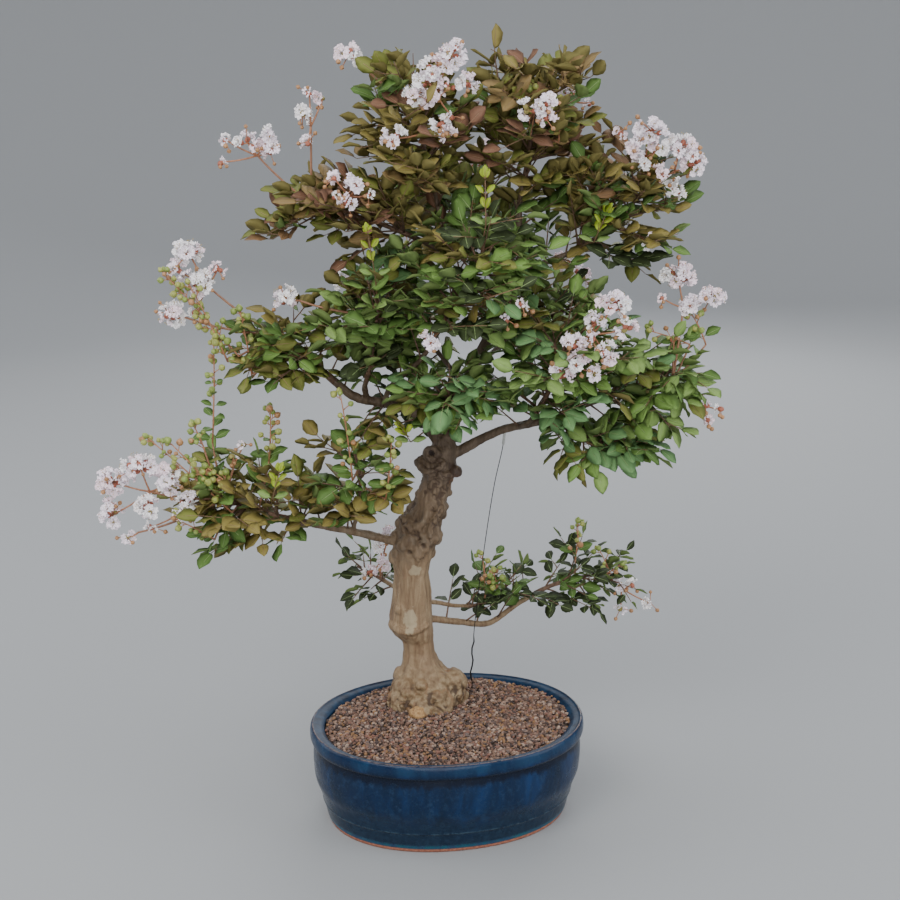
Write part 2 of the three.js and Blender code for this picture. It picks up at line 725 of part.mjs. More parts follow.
// Places from one part of a shoot's way to its tip, which turn round it by the golden angle.
function placesAround(curve, from, count, offAxis) {
  const places = [];
  for (let i = 0; i < count; i++) {
    const along = count > 1 ? THREE.MathUtils.lerp(from, 1, i / (count - 1)) : 1;
    const angle = i * GOLDEN_ANGLE;
    const out = new THREE.Vector3(Math.cos(angle), Math.sin(angle), 0.3).normalize();
    places.push(curve.getPointAt(along).addScaledVector(out, i ? offAxis : 0));
  }
  return places;
}

// A head of blossom: a chain of blooms that overlap, from the end of a shoot to the head's tip.
function addHead(pieces, stem, tip, length) {
  const curve = shootCurve(stem, vector(tip));
  const from = 1 - length / curve.getLength();
  const blooms = Math.round(length / BLOOM.spacing) + 1;
  pieces.push(shootTube(curve, from));
  for (const place of placesAround(curve, from, blooms, BLOOM.radius * BLOOM.offAxis)) {
    const bloom = new THREE.SphereGeometry(BLOOM.radius, BLOOM.sides, 2);
    bloom.scale(1, BLOOM.depth, 1);
    bloom.rotateX(Math.PI / 2);
    pieces.push(solidFrom(bloom.translate(...place.toArray())));
  }
}

// A shoot with pairs of leaves low down, and round buds or a last leaf at its tip.
function addShoot(pieces, stem, space, tip, { pairs, buds }, roll) {
  const curve = shootCurve(stem, vector(tip));
  const anywhere = { ...space, anywhere: true };
  const shoot = shootTube(curve, 1);
  pieces.push(shoot);
  for (let i = 0; i < pairs; i++) {
    const along = buds ? 0.35 + 0.2 * i : 0.7;
    addLeaves(pieces, anywhere, shoot, curve.getPoint(along), curve.getTangent(along), 2, roll);
  }
  if (!buds) addLeaves(pieces, anywhere, shoot, curve.getPoint(0.96), curve.getTangent(1), 1, roll);
  for (const place of placesAround(curve, BUD.from, buds, BUD.radius * BUD.offAxis)) {
    const bud = new THREE.OctahedronGeometry(BUD.radius, 0);
    pieces.push(solidFrom(bud.translate(...place.toArray())));
  }
}

function makeFoliage(name, seed) {
  const roll = dice(seed);
  const space = spaceOf(name);
  const stem = stemCurve(name);
  const radiusAt = (along) => THREE.MathUtils.lerp(TWIG.stem, TWIG.tip, along);
  const pieces = [solidFrom(tube(stem, radiusAt, 4, 4))];
  for (const [mass, tip, length] of HEADS) {
    if (mass === name) addHead(pieces, stem, tip, length);
  }
  for (const [mass, tip, what] of SHOOTS) {
    if (mass === name) addShoot(pieces, stem, space, tip, what, roll);
  }
  addTwigs(pieces, name, stem, space, roll);
  return fused(pieces);
}

// Guy wire

function wireCurve() {
  return new THREE.CatmullRomCurve3(WIRE.route.map(vector), false, "centripetal");
}

// The wire, cut clear of the bough that it holds and of the grit.
function makeWire(grit) {
  const wire = solidFrom(tube(wireCurve(), () => WIRE.radius, WIRE.sides, WIRE.steps));
  return fused([wire.subtract(makeLimb(WIRE.holds, GAP)).subtract(grit.translate([0, 0, GAP]))]);
}

const bonsai = new THREE.Group();
const grit = makeGrit();
bonsai.add(meshFrom("pot", makePot(), "glaze"));
bonsai.add(meshFrom("soil", grit, "grit"));
bonsai.add(meshFrom("trunk", makeTrunk(0), "bark"));
for (const name of Object.keys(LIMBS)) bonsai.add(meshFrom(name, clearLimb(name), "twigBark"));
Object.keys(MASSES).forEach((name, index) => {
  bonsai.add(meshFrom(name, makeFoliage(name, 101 + index), "leaf"));
});
bonsai.add(meshFrom("guy_wire", makeWire(grit), "wire"));

export default bonsai;
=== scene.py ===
# A flowering crape myrtle bonsai in a glazed oval pot: its looks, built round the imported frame.
# Sizes are in millimetres, in the frame's own axes, up to the moment a mesh is made.
import functools
import math

import bmesh
import bpy
import numpy as np
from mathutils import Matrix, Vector, kdtree, noise
from numpy.linalg import norm


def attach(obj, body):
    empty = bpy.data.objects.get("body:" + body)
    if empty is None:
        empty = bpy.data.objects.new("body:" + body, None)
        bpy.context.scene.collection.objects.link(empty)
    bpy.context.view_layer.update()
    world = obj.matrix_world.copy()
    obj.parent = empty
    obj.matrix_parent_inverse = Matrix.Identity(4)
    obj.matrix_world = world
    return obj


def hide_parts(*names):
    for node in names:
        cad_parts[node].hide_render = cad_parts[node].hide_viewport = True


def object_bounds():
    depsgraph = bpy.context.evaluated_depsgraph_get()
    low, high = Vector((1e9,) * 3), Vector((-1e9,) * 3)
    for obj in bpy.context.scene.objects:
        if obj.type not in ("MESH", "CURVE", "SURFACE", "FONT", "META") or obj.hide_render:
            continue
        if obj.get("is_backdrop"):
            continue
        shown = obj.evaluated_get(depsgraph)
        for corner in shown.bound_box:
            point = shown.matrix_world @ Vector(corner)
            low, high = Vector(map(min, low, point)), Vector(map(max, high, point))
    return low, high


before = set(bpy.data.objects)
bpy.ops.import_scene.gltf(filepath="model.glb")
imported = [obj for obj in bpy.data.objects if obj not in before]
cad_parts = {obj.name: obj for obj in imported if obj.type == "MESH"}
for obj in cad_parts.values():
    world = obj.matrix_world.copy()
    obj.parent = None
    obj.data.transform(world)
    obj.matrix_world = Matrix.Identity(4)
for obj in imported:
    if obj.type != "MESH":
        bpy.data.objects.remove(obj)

cad_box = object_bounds()

MM = 0.001
UP = np.array([0.0, 0.0, 1.0])
GOLDEN_ANGLE = math.pi * (3 - math.sqrt(5))
# Where each row of random draws starts. The masses' own and the limb twigs' ones count up from here.
SEEDS = {"grit": 71, "lumps": 9, "masses": 101, "top_shoot": 141, "limb_twigs": 161}

# The camera stands where the photograph was taken from.
CAMERA = {"place": (2.8, -1536.0, 845.0), "pitch": 15.5, "lens": 60.0, "sensor": 36.0}

# Soft lights all round, in metres and watts: name, place, size, power and colour.
LIGHTS = {
    "target": (0, 0.05, 0.45), "sky": 1.2,
    "rows": [
        ("key", (-1.3, -1.9, 2.4), 1.8, 38, (1.0, 0.98, 0.95)),
        ("front", (0.3, -2.5, 1.2), 2.2, 42, (1.0, 0.99, 0.97)),
        ("right", (2.4, -0.6, 1.2), 2.2, 26, (0.95, 0.97, 1.0)),
        ("left", (-2.4, 0.4, 1.2), 2.2, 22, (0.97, 0.98, 1.0)),
        ("back", (0.5, 2.5, 1.5), 2.2, 30, (1.0, 1.0, 1.0)),
    ],
}

# The floor runs level this far, then bends up into a backdrop of this height.
STAGE = {"level": 2800, "bend": 1600, "top": 3400, "sides": 128}

# Pot and grit, as in the frame.
POT = {
    "length": 307, "width": 240, "height": 110, "turn": math.radians(12), "roundness": 2.1,
    "wall": 12, "floor": 12, "lip": 16, "band": 15, "foot": 19, "bare_foot": 4, "ridge": 25,
    "drain_radius": 8, "drain_spacing": 110, "segments": 160,
}
SOIL = {"front_edge": 99, "back_edge": 107, "rise": 4.5, "rings": 20, "depth": 30}
FOOT = {"x": -24, "y": 50, "half_width": 52, "half_depth": 50, "blend": 24, "height": 108}
# Grit lies in a second heap at the back, up to the rim.
HEAP = {"x": 34, "y": 86, "reach": 34, "rise": 4.5}
GRAIN = {"spacing": 3.7, "radius": (1.3, 2.8), "upper_share": 0.5}

# Sections of the trunk: height, middle from left to right, middle from front to back, half width.
TRUNK_SECTIONS = [
    [104, -24, 50, 41], [120, -24, 50, 39], [133, -25, 50, 33], [145, -27, 50, 27], [155, -30, 50, 21],
    [169, -32, 50, 17.5], [182, -34, 50, 18], [193, -39, 49, 23.5], [212, -41, 48, 24], [236, -40, 48, 22],
    [264, -40, 46, 19.5], [284, -40, 45, 22.5], [303, -35, 45, 25], [326, -29, 44, 22.5], [345, -21, 43, 18],
    [372, -12, 41, 16.5], [387, -9, 40, 20], [399, -10, 40, 19], [411, -5, 39, 15.5], [422, -1, 38, 8],
    [431, -1, 38, 2],
]
TRUNK = {"sides": 40, "foot_depth": 0.84, "depth": 0.94, "lobes": 0.09, "lobe_top": 170}
# Swellings on the trunk: middle and radius. The first eight are roots, the next two the knob low on the left,
# then come one in the burl, one round the old pruning cut and the dark stub on the right.
KNOBS = [
    [6, 46, 131, 16], [4, 46, 116, 18], [-10, 28, 109, 19], [-28, 20, 112, 17], [-48, 34, 110, 21],
    [-46, 36, 129, 15], [-46, 74, 110, 21], [-4, 74, 112, 20], [-57, 42, 203, 10], [-54, 34, 226, 7],
    [-28, 25, 310, 9], [-17, 23, 408, 10], [10, 29, 387, 7],
]
# The small ochre root in front of the others.
OCHRE_ROOT = [-33, 6, 111, 9]
# Ridges of wood that lie on the trunk: route, and radius at both ends.
LEDGES = [
    ([[-22, 46, 398], [-31, 32, 397], [-27, 20, 391], [-12, 17, 392], [-3, 22, 400]], (5, 3.8)),
    ([[0, 52, 400], [5, 38, 394], [6, 26, 387], [-4, 21, 383], [-20, 25, 385]], (5.5, 3.5)),
    ([[-60, 46, 208], [-54, 28, 202], [-38, 25, 201], [-22, 32, 207]], (5, 3.5)),
    ([[-46, 40, 318], [-38, 24, 322], [-24, 21, 334]], (5, 4)),
    ([[-8, 30, 344], [-16, 22, 330], [-20, 21, 314]], (5, 4)),
]
# Zones of lumps on the trunk's surface: lowest and highest, number, and radius.
LUMPS = [(104, 140, 30, (8, 12)), (284, 346, 44, (6, 9.5)), (346, 372, 6, (4, 6)), (376, 402, 9, (4.5, 6.5))]
# Pits in the bark, each a middle, a radius and a depth. The first is the hollow in the old pruning cut.
PITS = [
    [-18, 13, 412, 7.5, 8], [-40, 21, 338, 4.5, 3.5], [-46, 24, 322, 4.5, 3.5], [-11, 23, 315, 5, 4],
    [-5, 28, 303, 4, 3], [-26, 19, 304, 5, 3.5], [-42, 22, 296, 4, 3], [-32, 18, 314, 4, 3],
    [-29, 23, 364, 4, 2.5],
]
# Patches of another colour on the bark: middle, reach and colour. Pale ones are where bark has peeled.
PALE, REDDISH, BLACKENED = (0.410, 0.340, 0.225), (0.330, 0.160, 0.085), (0.045, 0.026, 0.020)
PATCHES = [
    ([-42, 24, 214], (9, 12, 14), PALE), ([-36, 24, 273], (8, 12, 7), PALE),
    ([9, 28, 372], (7, 14, 13), REDDISH), ([-38, 24, 382], (6, 12, 8), REDDISH),
    ([11, 28, 387], (10, 14, 11), BLACKENED),
]
BARK = {
    "voxel": 1.3, "lump": 2.4, "small": 1.1, "flute": 1.2, "fine": 0.35, "crease": 1.9,
    "rough_from": 272, "knobby_to": 146, "fade": 24, "full_radius": 16,
    "lump_size": (13, 17), "small_size": (5.5, 7), "flute_size": (6, 48), "fine_size": (2.2, 4),
    "cell": (13, 16), "bend_size": (8, 8), "creased_size": (19, 19),
}

# Limbs: what each grows from, its route to its tip, and its radius at both ends.
LIMBS = {
    "bough_low_left": ([[-38, 43, 300], [-58, 38, 304], [-106, 20, 322], [-150, -1, 338]], (6, 4)),
    "bough_low_left_fork": ([[-103, 21, 321], [-101, 12, 332], [-97, 2, 345]], (3.2, 2.4)),
    "bough_low_back": (
        [[-35, 50, 206], [-20, 62, 202], [14, 95, 185], [50, 125, 172], [82, 138, 190],
         [106, 143, 203]], (5, 3)),
    "bough_low_back_fork": ([[-35, 55, 222], [-18, 68, 220], [8, 98, 204], [26, 112, 198]], (3.2, 2.4)),
    "bough_back_left": ([[-44, 52, 232], [-56, 76, 232], [-74, 96, 236]], (3.6, 2.6)),
    "bough_left": (
        [[-8, 41, 415], [-30, 36, 448], [-62, 30, 462], [-99, 22, 472], [-121, 15, 492]], (7, 4.5)),
    "bough_left_rise": ([[-84, 25, 468], [-88, 15, 481], [-85, 6, 494]], (3.6, 2.8)),
    "bough_front_rise": (
        [[-66, 28, 463], [-67, 12, 466], [-60, 1, 487], [-28, -12, 519], [-14, -20, 542], [-4, -25, 560]],
        (3.4, 2.6)),
    "bough_right": (
        [[-2, 40, 399], [20, 38, 411], [41, 35, 424], [67, 25, 437], [104, 15, 448], [146, 10, 466],
         [164, 10, 473]], (6.5, 3.4)),
    "bough_right_front": ([[74, 23, 439], [84, 6, 446], [93, -8, 461]], (3.6, 2.8)),
    "bough_right_low": ([[110, 14, 450], [120, 5, 446], [128, -1, 443]], (3, 2.4)),
    "leader": (
        [[0, 42, 408], [16, 55, 466], [37, 58, 515], [60, 55, 560], [77, 50, 602], [75, 52, 661],
         [80, 54, 692]], (8, 3.4)),
    "bough_upper_right": ([[77, 50, 602], [104, 53, 611], [131, 56, 621]], (4.2, 3)),
    "bough_upper_left": ([[76, 51, 630], [58, 44, 636], [3, 30, 626], [-36, 19, 643]], (4.2, 2.8)),
    "bough_upper_left_fork": ([[3, 30, 626], [-6, 31, 654], [-13, 31, 688]], (3, 2.2)),
    "bough_top_back": ([[-4, 42, 412], [-10, 62, 424], [-16, 78, 434]], (3.6, 2.6)),
    "bough_top_front": ([[8, 49, 440], [13, 26, 447], [10, 4, 459]], (3.2, 2.4)),
    "bough_back_right": ([[31, 58, 500], [48, 84, 506], [62, 105, 513]], (3.8, 2.8)),
    "bough_back_mid": ([[21, 56, 478], [3, 84, 491], [-12, 105, 505]], (3.8, 2.8)),
    "bough_back_high": ([[72, 51, 590], [67, 80, 612], [58, 98, 625]], (3.6, 2.6)),
}

# Masses of foliage: the limb each grows on from, its middle, its reach, its main twigs and its leaf tones.
MASSES = {
    "foliage_low_left": ("bough_low_left", [-216, -16, 364], [93, 79, 65], 9, "low"),
    "foliage_low_mid": ("bough_low_left_fork", [-97, -10, 400], [57, 73, 69], 4, "low"),
    "foliage_low_back_right": ("bough_low_back", [167, 150, 217], [71, 62, 61], 5, "shade"),
    "foliage_low_back": ("bough_low_back_fork", [60, 126, 214], [69, 61, 44], 4, "shade"),
    "foliage_back_left": ("bough_back_left", [-96, 112, 242], [44, 53, 44], 4, "shade"),
    "foliage_left": ("bough_left", [-165, 5, 531], [65, 73, 55], 8, "low"),
    "foliage_mid_left": ("bough_left_rise", [-74, 8, 564], [69, 93, 81], 8, "middle"),
    "foliage_front": ("bough_front_rise", [30, -42, 617], [89, 89, 79], 9, "middle"),
    "foliage_right": ("bough_right", [221, 10, 488], [67, 77, 67], 8, "fresh"),
    "foliage_front_right": ("bough_right_front", [113, -32, 526], [91, 95, 77], 9, "fresh"),
    "foliage_hanging": ("bough_right_low", [164, -6, 430], [69, 63, 44], 7, "fresh"),
    "foliage_top": ("leader", [88, 45, 766], [83, 105, 83], 10, "top"),
    "foliage_upper_right": ("bough_upper_right", [189, 58, 676], [77, 95, 83], 9, "high"),
    "foliage_upper_left": ("bough_upper_left", [-116, 20, 668], [91, 91, 55], 8, "top"),
    "foliage_top_left": ("bough_upper_left_fork", [-33, 30, 756], [75, 101, 79], 9, "top"),
    "foliage_neck_back": ("bough_top_back", [-28, 104, 448], [65, 53, 42], 6, "shade"),
    "foliage_neck_front": ("bough_top_front", [4, -42, 487], [61, 63, 50], 7, "fresh"),
    "foliage_back_right": ("bough_back_right", [116, 152, 532], [87, 77, 73], 8, "middle"),
    "foliage_back_mid": ("bough_back_mid", [-60, 148, 538], [85, 75, 73], 8, "middle"),
    "foliage_back_high": ("bough_back_high", [20, 150, 662], [95, 79, 79], 8, "high"),
}

# Where further twigs end, so that the crown closes where the photo shows no sky.
FILLING_TWIGS = {
    "foliage_upper_right": [(133, 20, 705), (140, 30, 660), (126, 5, 684), (146, 10, 712)],
    "foliage_top": [(125, 20, 705), (140, 40, 730), (104, 5, 700)],
    "foliage_top_left": [(-50, -20, 700), (-62, 0, 720), (-30, -30, 706)],
    "foliage_upper_left": [(-55, 0, 690), (-45, -30, 672), (-68, -20, 700)],
    "foliage_low_mid": [(-128, -20, 362), (-114, -32, 352)],
    "foliage_low_left": [(-142, -30, 374), (-150, -40, 350)],
}

# Leaf colours, and how often each tone of mass deals them out, spray by spray.
LEAF_COLOURS = {
    # "deep" is painted shade: a darkened green that the "shade" tone deals out to the low masses at the back,
    # and "high" and "middle" to a few sprays.
    "deep": (0.040, 0.056, 0.021),
    "green": (0.096, 0.178, 0.040),
    "fresh": (0.158, 0.275, 0.062),
    "cool": (0.132, 0.262, 0.098),
    "light": (0.215, 0.335, 0.092),
    "moss": (0.178, 0.196, 0.043),
    "olive": (0.252, 0.206, 0.058),
    "umber": (0.245, 0.168, 0.066),
    "bronze": (0.242, 0.140, 0.068),
    "wine": (0.195, 0.100, 0.060),
    "lime": (0.330, 0.440, 0.035),
}
LEAF_UNDERSIDES = {"green": (0.140, 0.200, 0.062), "olive": (0.185, 0.160, 0.054)}
LEAF_TONES = {
    "top": "olive umber moss bronze olive moss green olive moss wine moss umber".split(),
    "high": "moss olive green olive fresh moss bronze green moss deep".split(),
    "middle": "green fresh moss light green cool moss fresh deep olive".split(),
    "fresh": "fresh cool light green fresh light cool moss".split(),
    "low": "moss olive green moss fresh olive green moss".split(),
    # The "shade" tone paints shade with mostly dark "deep" leaves.
    "shade": "deep deep green deep deep".split(),
}
LEAF = {
    "length": 30, "width": 0.64, "thickness": 0.5, "fold": 0.13, "curl": 0.13, "stalk": 2.5,
    "spread": 0.95, "forward": 0.6, "sway": 0.8, "upward": 0.9, "facing": 0.5, "node": 13.5,
    "wave": 0.035, "chance": 0.93,
}
# Twigs end in their mass's space, and leaf tips stand out of it by up to this much.
LEAF_OVERHANG = 1.25
# No leaf reaches past these corners of the whole plant.
LEAF_ROOM = ((-368, -132, 120), (284, 236, 834))
# How far leaves of each tone of mass reach up from their twigs.
LEAF_RISE = {"top": 0.4, "high": 0.25, "middle": 0.0, "fresh": -0.1, "low": 0.05, "shade": 0.05}
# Leaves in the shade stay smaller.
LEAF_SIZE = {"shade": 0.78}
LIMB_TWIG = {"every": 10, "length": (32, 62), "upper_reach": 1.35}
TWIG = {
    "each": 2.6, "main": 1.3, "side": 0.8, "tip": 0.45, "stem_tip": 1.2, "arch": 0.14, "bare": 0.42,
    "side_every": 19, "side_length": (20, 44), "side_bare": 0.25,
}

# Clusters of blossom by mass: middle, half width, half height and number of flowers.
# A number below zero stands for that many half open ones.
CLUSTERS = {
    "foliage_low_left": [
        (-350, -35, 395, 13, 10, 6), (-320, -35, 411, 17, 10, 8), (-290, -38, 396, 9, 15, 6),
        (-274, -40, 369, 9, 12, 4), (-352, -35, 358, 8, 17, 5), (-340, -32, 332, 6, 5, 1),
        (-313, -42, 368, 8, 13, 4), (-313, -30, 343, 9, 5, -2), (-225, -20, 418, 3, 3, -1),
        (-214, -18, 430, 3, 3, -1)],
    "foliage_left": [
        (-264, -5, 630, 13, 8, 6), (-276, -5, 612, 6, 8, 3), (-236, 0, 612, 10, 6, -3),
        (-252, -10, 598, 11, 11, 7), (-283, -10, 566, 11, 10, 6), (-260, -12, 570, 6, 4, -2)],
    "foliage_mid_left": [(-167, -5, 583, 10, 8, 4)],
    "foliage_upper_left": [
        (-224, 10, 742, 6, 5, -2), (-229, 8, 720, 4, 4, -1), (-202, 10, 739, 12, 8, 3),
        (-179, 10, 747, 7, 8, 2), (-180, 6, 731, 8, 6, 2), (-141, 10, 739, 5, 5, 1),
        (-139, 18, 787, 6, 5, -2), (-126, 20, 782, 5, 6, 1), (-146, 18, 767, 7, 7, 2),
        (-111, -45, 709, 6, 5, 1), (-89, -48, 704, 12, 6, 2), (-77, -48, 693, 4, 4, -1),
        (-110, -48, 691, 4, 4, -1), (-97, -52, 686, 8, 6, 2)],
    "foliage_top_left": [
        (4, -20, 824, 12, 12, 5), (-11, -20, 811, 12, 10, 4), (-19, -24, 800, 14, 9, 4),
        (2, -24, 794, 9, 8, -3), (20, -20, 798, 8, 6, 3), (-34, -28, 785, 8, 7, 3),
        (-19, -32, 783, 8, 6, 2), (-7, -36, 760, 9, 7, 2), (5, -34, 767, 5, 6, -1),
        (0, -40, 750, 6, 7, 2), (-53, -46, 747, 9, 7, 3), (-99, 30, 825, 9, 8, 3)],
    "foliage_top": [
        (79, -48, 774, 9, 9, 3), (94, -48, 778, 8, 7, 3), (95, -52, 766, 7, 7, 2),
        (123, 40, 789, 7, 6, 2), (145, 40, 777, 4, 5, -1)],
    "foliage_upper_right": [
        (175, 15, 748, 7, 6, -2), (190, 12, 735, 7, 8, 3), (207, 15, 750, 14, 8, 5),
        (215, 12, 735, 8, 6, 2), (237, 15, 734, 12, 9, 5), (251, 15, 719, 9, 13, 4),
        (199, 10, 720, 7, 6, 2), (218, 8, 707, 6, 9, 3), (233, 10, 692, 9, 8, 3), (209, 15, 638, 5, 9, -3)],
    "foliage_right": [
        (241, 20, 601, 15, 9, 9), (225, 18, 579, 4, 4, -1), (253, 16, 571, 7, 6, 4), (277, 20, 580, 10, 6, 6),
        (238, 14, 537, 3, 3, -1), (272, 0, 468, 4, 4, -2), (287, 0, 464, 4, 4, -1), (275, 0, 452, 5, 4, -2)],
    "foliage_front_right": [
        (163, -85, 590, 13, 8, 6), (144, -88, 573, 6, 8, 3), (176, -88, 567, 8, 9, 3),
        (123, -92, 553, 7, 6, 3), (141, -96, 558, 6, 7, 2), (128, -98, 536, 7, 6, 3),
        (156, -94, 544, 6, 10, 3), (146, -96, 525, 7, 6, 2), (112, -96, 522, 7, 9, 3)],
    "foliage_front": [(73, -80, 589, 9, 6, -2), (58, -90, 576, 4, 4, -1), (-17, -84, 552, 9, 8, 3)],
    "foliage_low_back_right": [
        (206, 150, 212, 7, 6, 2), (220, 150, 211, 6, 6, 1), (243, 150, 187, 6, 7, 1),
        (208, 150, 180, 8, 5, -2)],
    "foliage_back_left": [
        (-67, 100, 292, 6, 8, 2), (-76, 98, 277, 5, 5, 1), (-73, 94, 259, 6, 7, 2), (-90, 92, 247, 8, 6, 2)],
    "foliage_back_right": [(156, 226, 568, 12, 12, 5), (138, 222, 584, 10, 9, 4)],
    "foliage_back_mid": [(-118, 212, 566, 12, 12, 5), (-100, 216, 552, 9, 9, 3)],
    "foliage_back_high": [(40, 218, 712, 12, 12, 5), (22, 218, 698, 9, 9, 3)],
}
FLOWER = {
    "radius": 9.6, "half_open": 6.5, "claw": 2.8, "petals": 6, "points": 12, "calyx": 3.0, "stamens": 4,
    "crowd": 1.15, "frill": (0.6, -0.4), "buds": 2, "petal_thickness": 0.22, "depth": 5,
    "stalk": [0.8, 0.75, 0.75, 0.85], "stem": [1.1, 1.0, 0.9, 0.9, 0.8], "stamen": 8, "filament": (0.2, 0.12),
    "anther": 0.55, "hub_reach": 62,
}

# Shoots that end in round buds, by mass: foot and tip, number of buds, and pairs of small leaves under them.
BUD_SHOOTS = {
    "foliage_low_left": [
        ((-225, -45, 364), (-308, -45, 444), 14, 0), ((-236, -45, 380), (-284, -50, 440), 9, 0),
        ((-250, -45, 429), (-260, -45, 456), 5, 0), ((-221, -45, 388), (-248, -45, 412), 7, 0),
        ((-244, -45, 334), (-283, -45, 356), 5, 1), ((-246, -20, 432), (-240, -20, 546), 10, 6),
        ((-190, 0, 406), (-187, 0, 465), 10, 2)],
    "foliage_low_mid": [((-98, -50, 400), (-108, -58, 492), 9, 2), ((-64, -50, 380), (-57, -60, 443), 9, 1)],
    "foliage_left": [
        ((-200, -20, 506), (-289, -20, 612), 20, 0), ((-226, -24, 520), (-262, -24, 600), 9, 0),
        ((-202, -20, 502), (-212, -20, 571), 9, 1)],
    "foliage_low_back": [((58, 110, 212), (54, 110, 240), 8, 0), ((44, 110, 212), (40, 110, 261), 4, 1)],
    "foliage_low_back_right": [
        ((152, 150, 242), (154, 150, 287), 5, 1), ((197, 150, 215), (181, 150, 253), 4, 0),
        ((182, 150, 219), (205, 150, 235), 3, 0)],
    "foliage_top": [
        ((112, 0, 740), (113, 0, 779), 5, 1), ((83, 0, 745), (89, 0, 788), 4, 1),
        ((128, 50, 770), (132, 56, 806), 4, 1)],
    "foliage_right": [((256, 20, 529), (216, 20, 543), 5, 1), ((273, 20, 529), (257, 20, 561), 4, 1)],
    "foliage_back_mid": [((-40, 190, 560), (-48, 200, 622), 9, 1)],
    "foliage_back_right": [((100, 190, 560), (96, 205, 610), 7, 1)],
}
BUD = {
    "radius": 3.9, "stalk": (5, 12), "twins": 0.65, "crowd": 1.05, "under_flowers": 0.66, "twin_size": 0.82,
}
# The outlines of a bud and of a calyx: shares of its radius along its axis and across it.
BUD_OUTLINE = [(0.0, 0.25), (0.22, 0.68), (0.6, 0.95), (1.0, 1.0), (1.4, 0.82), (1.75, 0.46), (2.05, 0.08)]
CALYX_OUTLINE = [(0, 0.25), (0.5, 0.85), (1.25, 1), (1.9, 0.8)]

# Tips of lime-green young leaves, by mass: foot and tip.
YOUNG_TIPS = {
    "foliage_front": ((38, -56, 664), (37, -60, 708)),
    "foliage_mid_left": ((-72, -44, 612), (-78, -50, 652)),
    "foliage_neck_front": ((-38, -30, 436), (-46, -40, 452)),
    "foliage_upper_right": ((150, -2, 640), (160, -10, 668)),
    "foliage_low_left": ((-180, -60, 384), (-172, -66, 412)),
    "foliage_back_mid": ((-60, 208, 560), (-64, 216, 598)),
}
YOUNG_LEAF = {"pairs": 4, "length": 13}
# The topmost shoot's foot and tip.
TOP_SHOOT = ((62, 44, 768), (48, 45, 828))

# Mottled finishes by piece: name, colour, roughness, size and strength of the mottles, and their height.
FINISHES = {
    "leaf_ribs": [
        ("rib_green", (0.240, 0.330, 0.130), 0.5, 9.0),
        ("rib_red", (0.280, 0.180, 0.100), 0.5, 9.0),
    ],
    "twigs": [
        ("twig_brown", (0.140, 0.080, 0.050), 0.7, 4.0, 0.35),
        ("twig_young", (0.180, 0.105, 0.055), 0.6, 5.0, 0.25),
        ("twig_flowering", (0.330, 0.160, 0.092), 0.5, 5.0),
    ],
    "petals": [
        ("petal_white", (0.940, 0.920, 0.940), 0.65, 4.0, 0.05),
        ("petal_lilac", (0.920, 0.850, 0.920), 0.65, 4.0, 0.06),
        ("petal_blush", (0.930, 0.800, 0.865), 0.65, 4.0, 0.08),
    ],
    "buds_and_calyces": [
        ("stalk_orange", (0.400, 0.180, 0.095), 0.5, 5.0, 0.25),
        ("calyx_red", (0.400, 0.130, 0.080), 0.5, 2.5, 0.25),
        ("filament", (0.560, 0.400, 0.260), 0.5, 3.0),
        ("anther", (0.520, 0.380, 0.080), 0.6, 1.0),
        ("calyx_green", (0.300, 0.260, 0.080), 0.5, 2.5, 0.25),
        ("bud_green", (0.235, 0.310, 0.070), 0.45, 3.0, 0.22, 0.15),
        ("bud_yellow", (0.330, 0.360, 0.090), 0.45, 3.0, 0.22, 0.15),
        ("bud_flushed", (0.400, 0.210, 0.095), 0.45, 3.0, 0.25, 0.15),
    ],
}

WIRE = {
    "route": [[62, 27, 434], [60, 32, 414], [52, 48, 368], [42, 66, 290], [31, 86, 180], [27, 97, 98]],
    "radius": 0.45, "low_radius": 0.9, "low_share": 0.16, "sleeve_radius": 1.5, "sleeve_share": 0.05,
    "sway": 1.2, "sway_rate": 1.7,
}


# Numbers, vectors and curves

def dice(seed):
    """Draws numbers from 0 to 1 in an order fixed by the seed, as the frame's source does."""
    state = seed

    def roll():
        nonlocal state
        state = (state + 0x6D2B79F5) & 0xFFFFFFFF
        t = ((state ^ (state >> 15)) * (state | 1)) & 0xFFFFFFFF
        t ^= (t + (((t ^ (t >> 7)) * (t | 61)) & 0xFFFFFFFF)) & 0xFFFFFFFF
        return ((t ^ (t >> 14)) & 0xFFFFFFFF) / 4294967296

    return roll


def clip(value):
    """A number kept between 0 and 1."""
    return min(max(value, 0), 1)


def eased(share):
    """A share from 0 to 1 that starts and ends gently."""
    return share * share * (3 - 2 * share)


def turned(x, y, angle):
    """A level place turned about the upright axis."""
    return x * math.cos(angle) - y * math.sin(angle), x * math.sin(angle) + y * math.cos(angle)


def vec(values):
    return np.array(values, float)


def unit(v):
    return v / max(norm(v), 1e-9)


def lerp(a, b, share):
    return a + (b - a) * share


def between(pair, share):
    return lerp(pair[0], pair[1], share)


def smooth_route(route, per_span=10):
    """Points along the centripetal curve through a route."""
    points = [vec(p) for p in route]
    chain = [2 * points[0] - points[1], *points, 2 * points[-1] - points[-2]]
    out = []
    for p0, p1, p2, p3 in zip(chain, chain[1:], chain[2:], chain[3:]):
        t1 = math.sqrt(norm(p1 - p0))
        t2 = t1 + math.sqrt(norm(p2 - p1))
        t3 = t2 + math.sqrt(norm(p3 - p2))
        for step in range(per_span):
            t = lerp(t1, t2, step / per_span)
            a1 = lerp(p0, p1, t / t1)
            a2 = lerp(p1, p2, (t - t1) / (t2 - t1))
            a3 = lerp(p2, p3, (t - t2) / (t3 - t2))
            b1 = lerp(a1, a2, t / t2)
            b2 = lerp(a2, a3, (t - t1) / (t3 - t1))
            out.append(lerp(b1, b2, (t - t1) / (t2 - t1)))
    out.append(points[-1])
    return np.array(out)


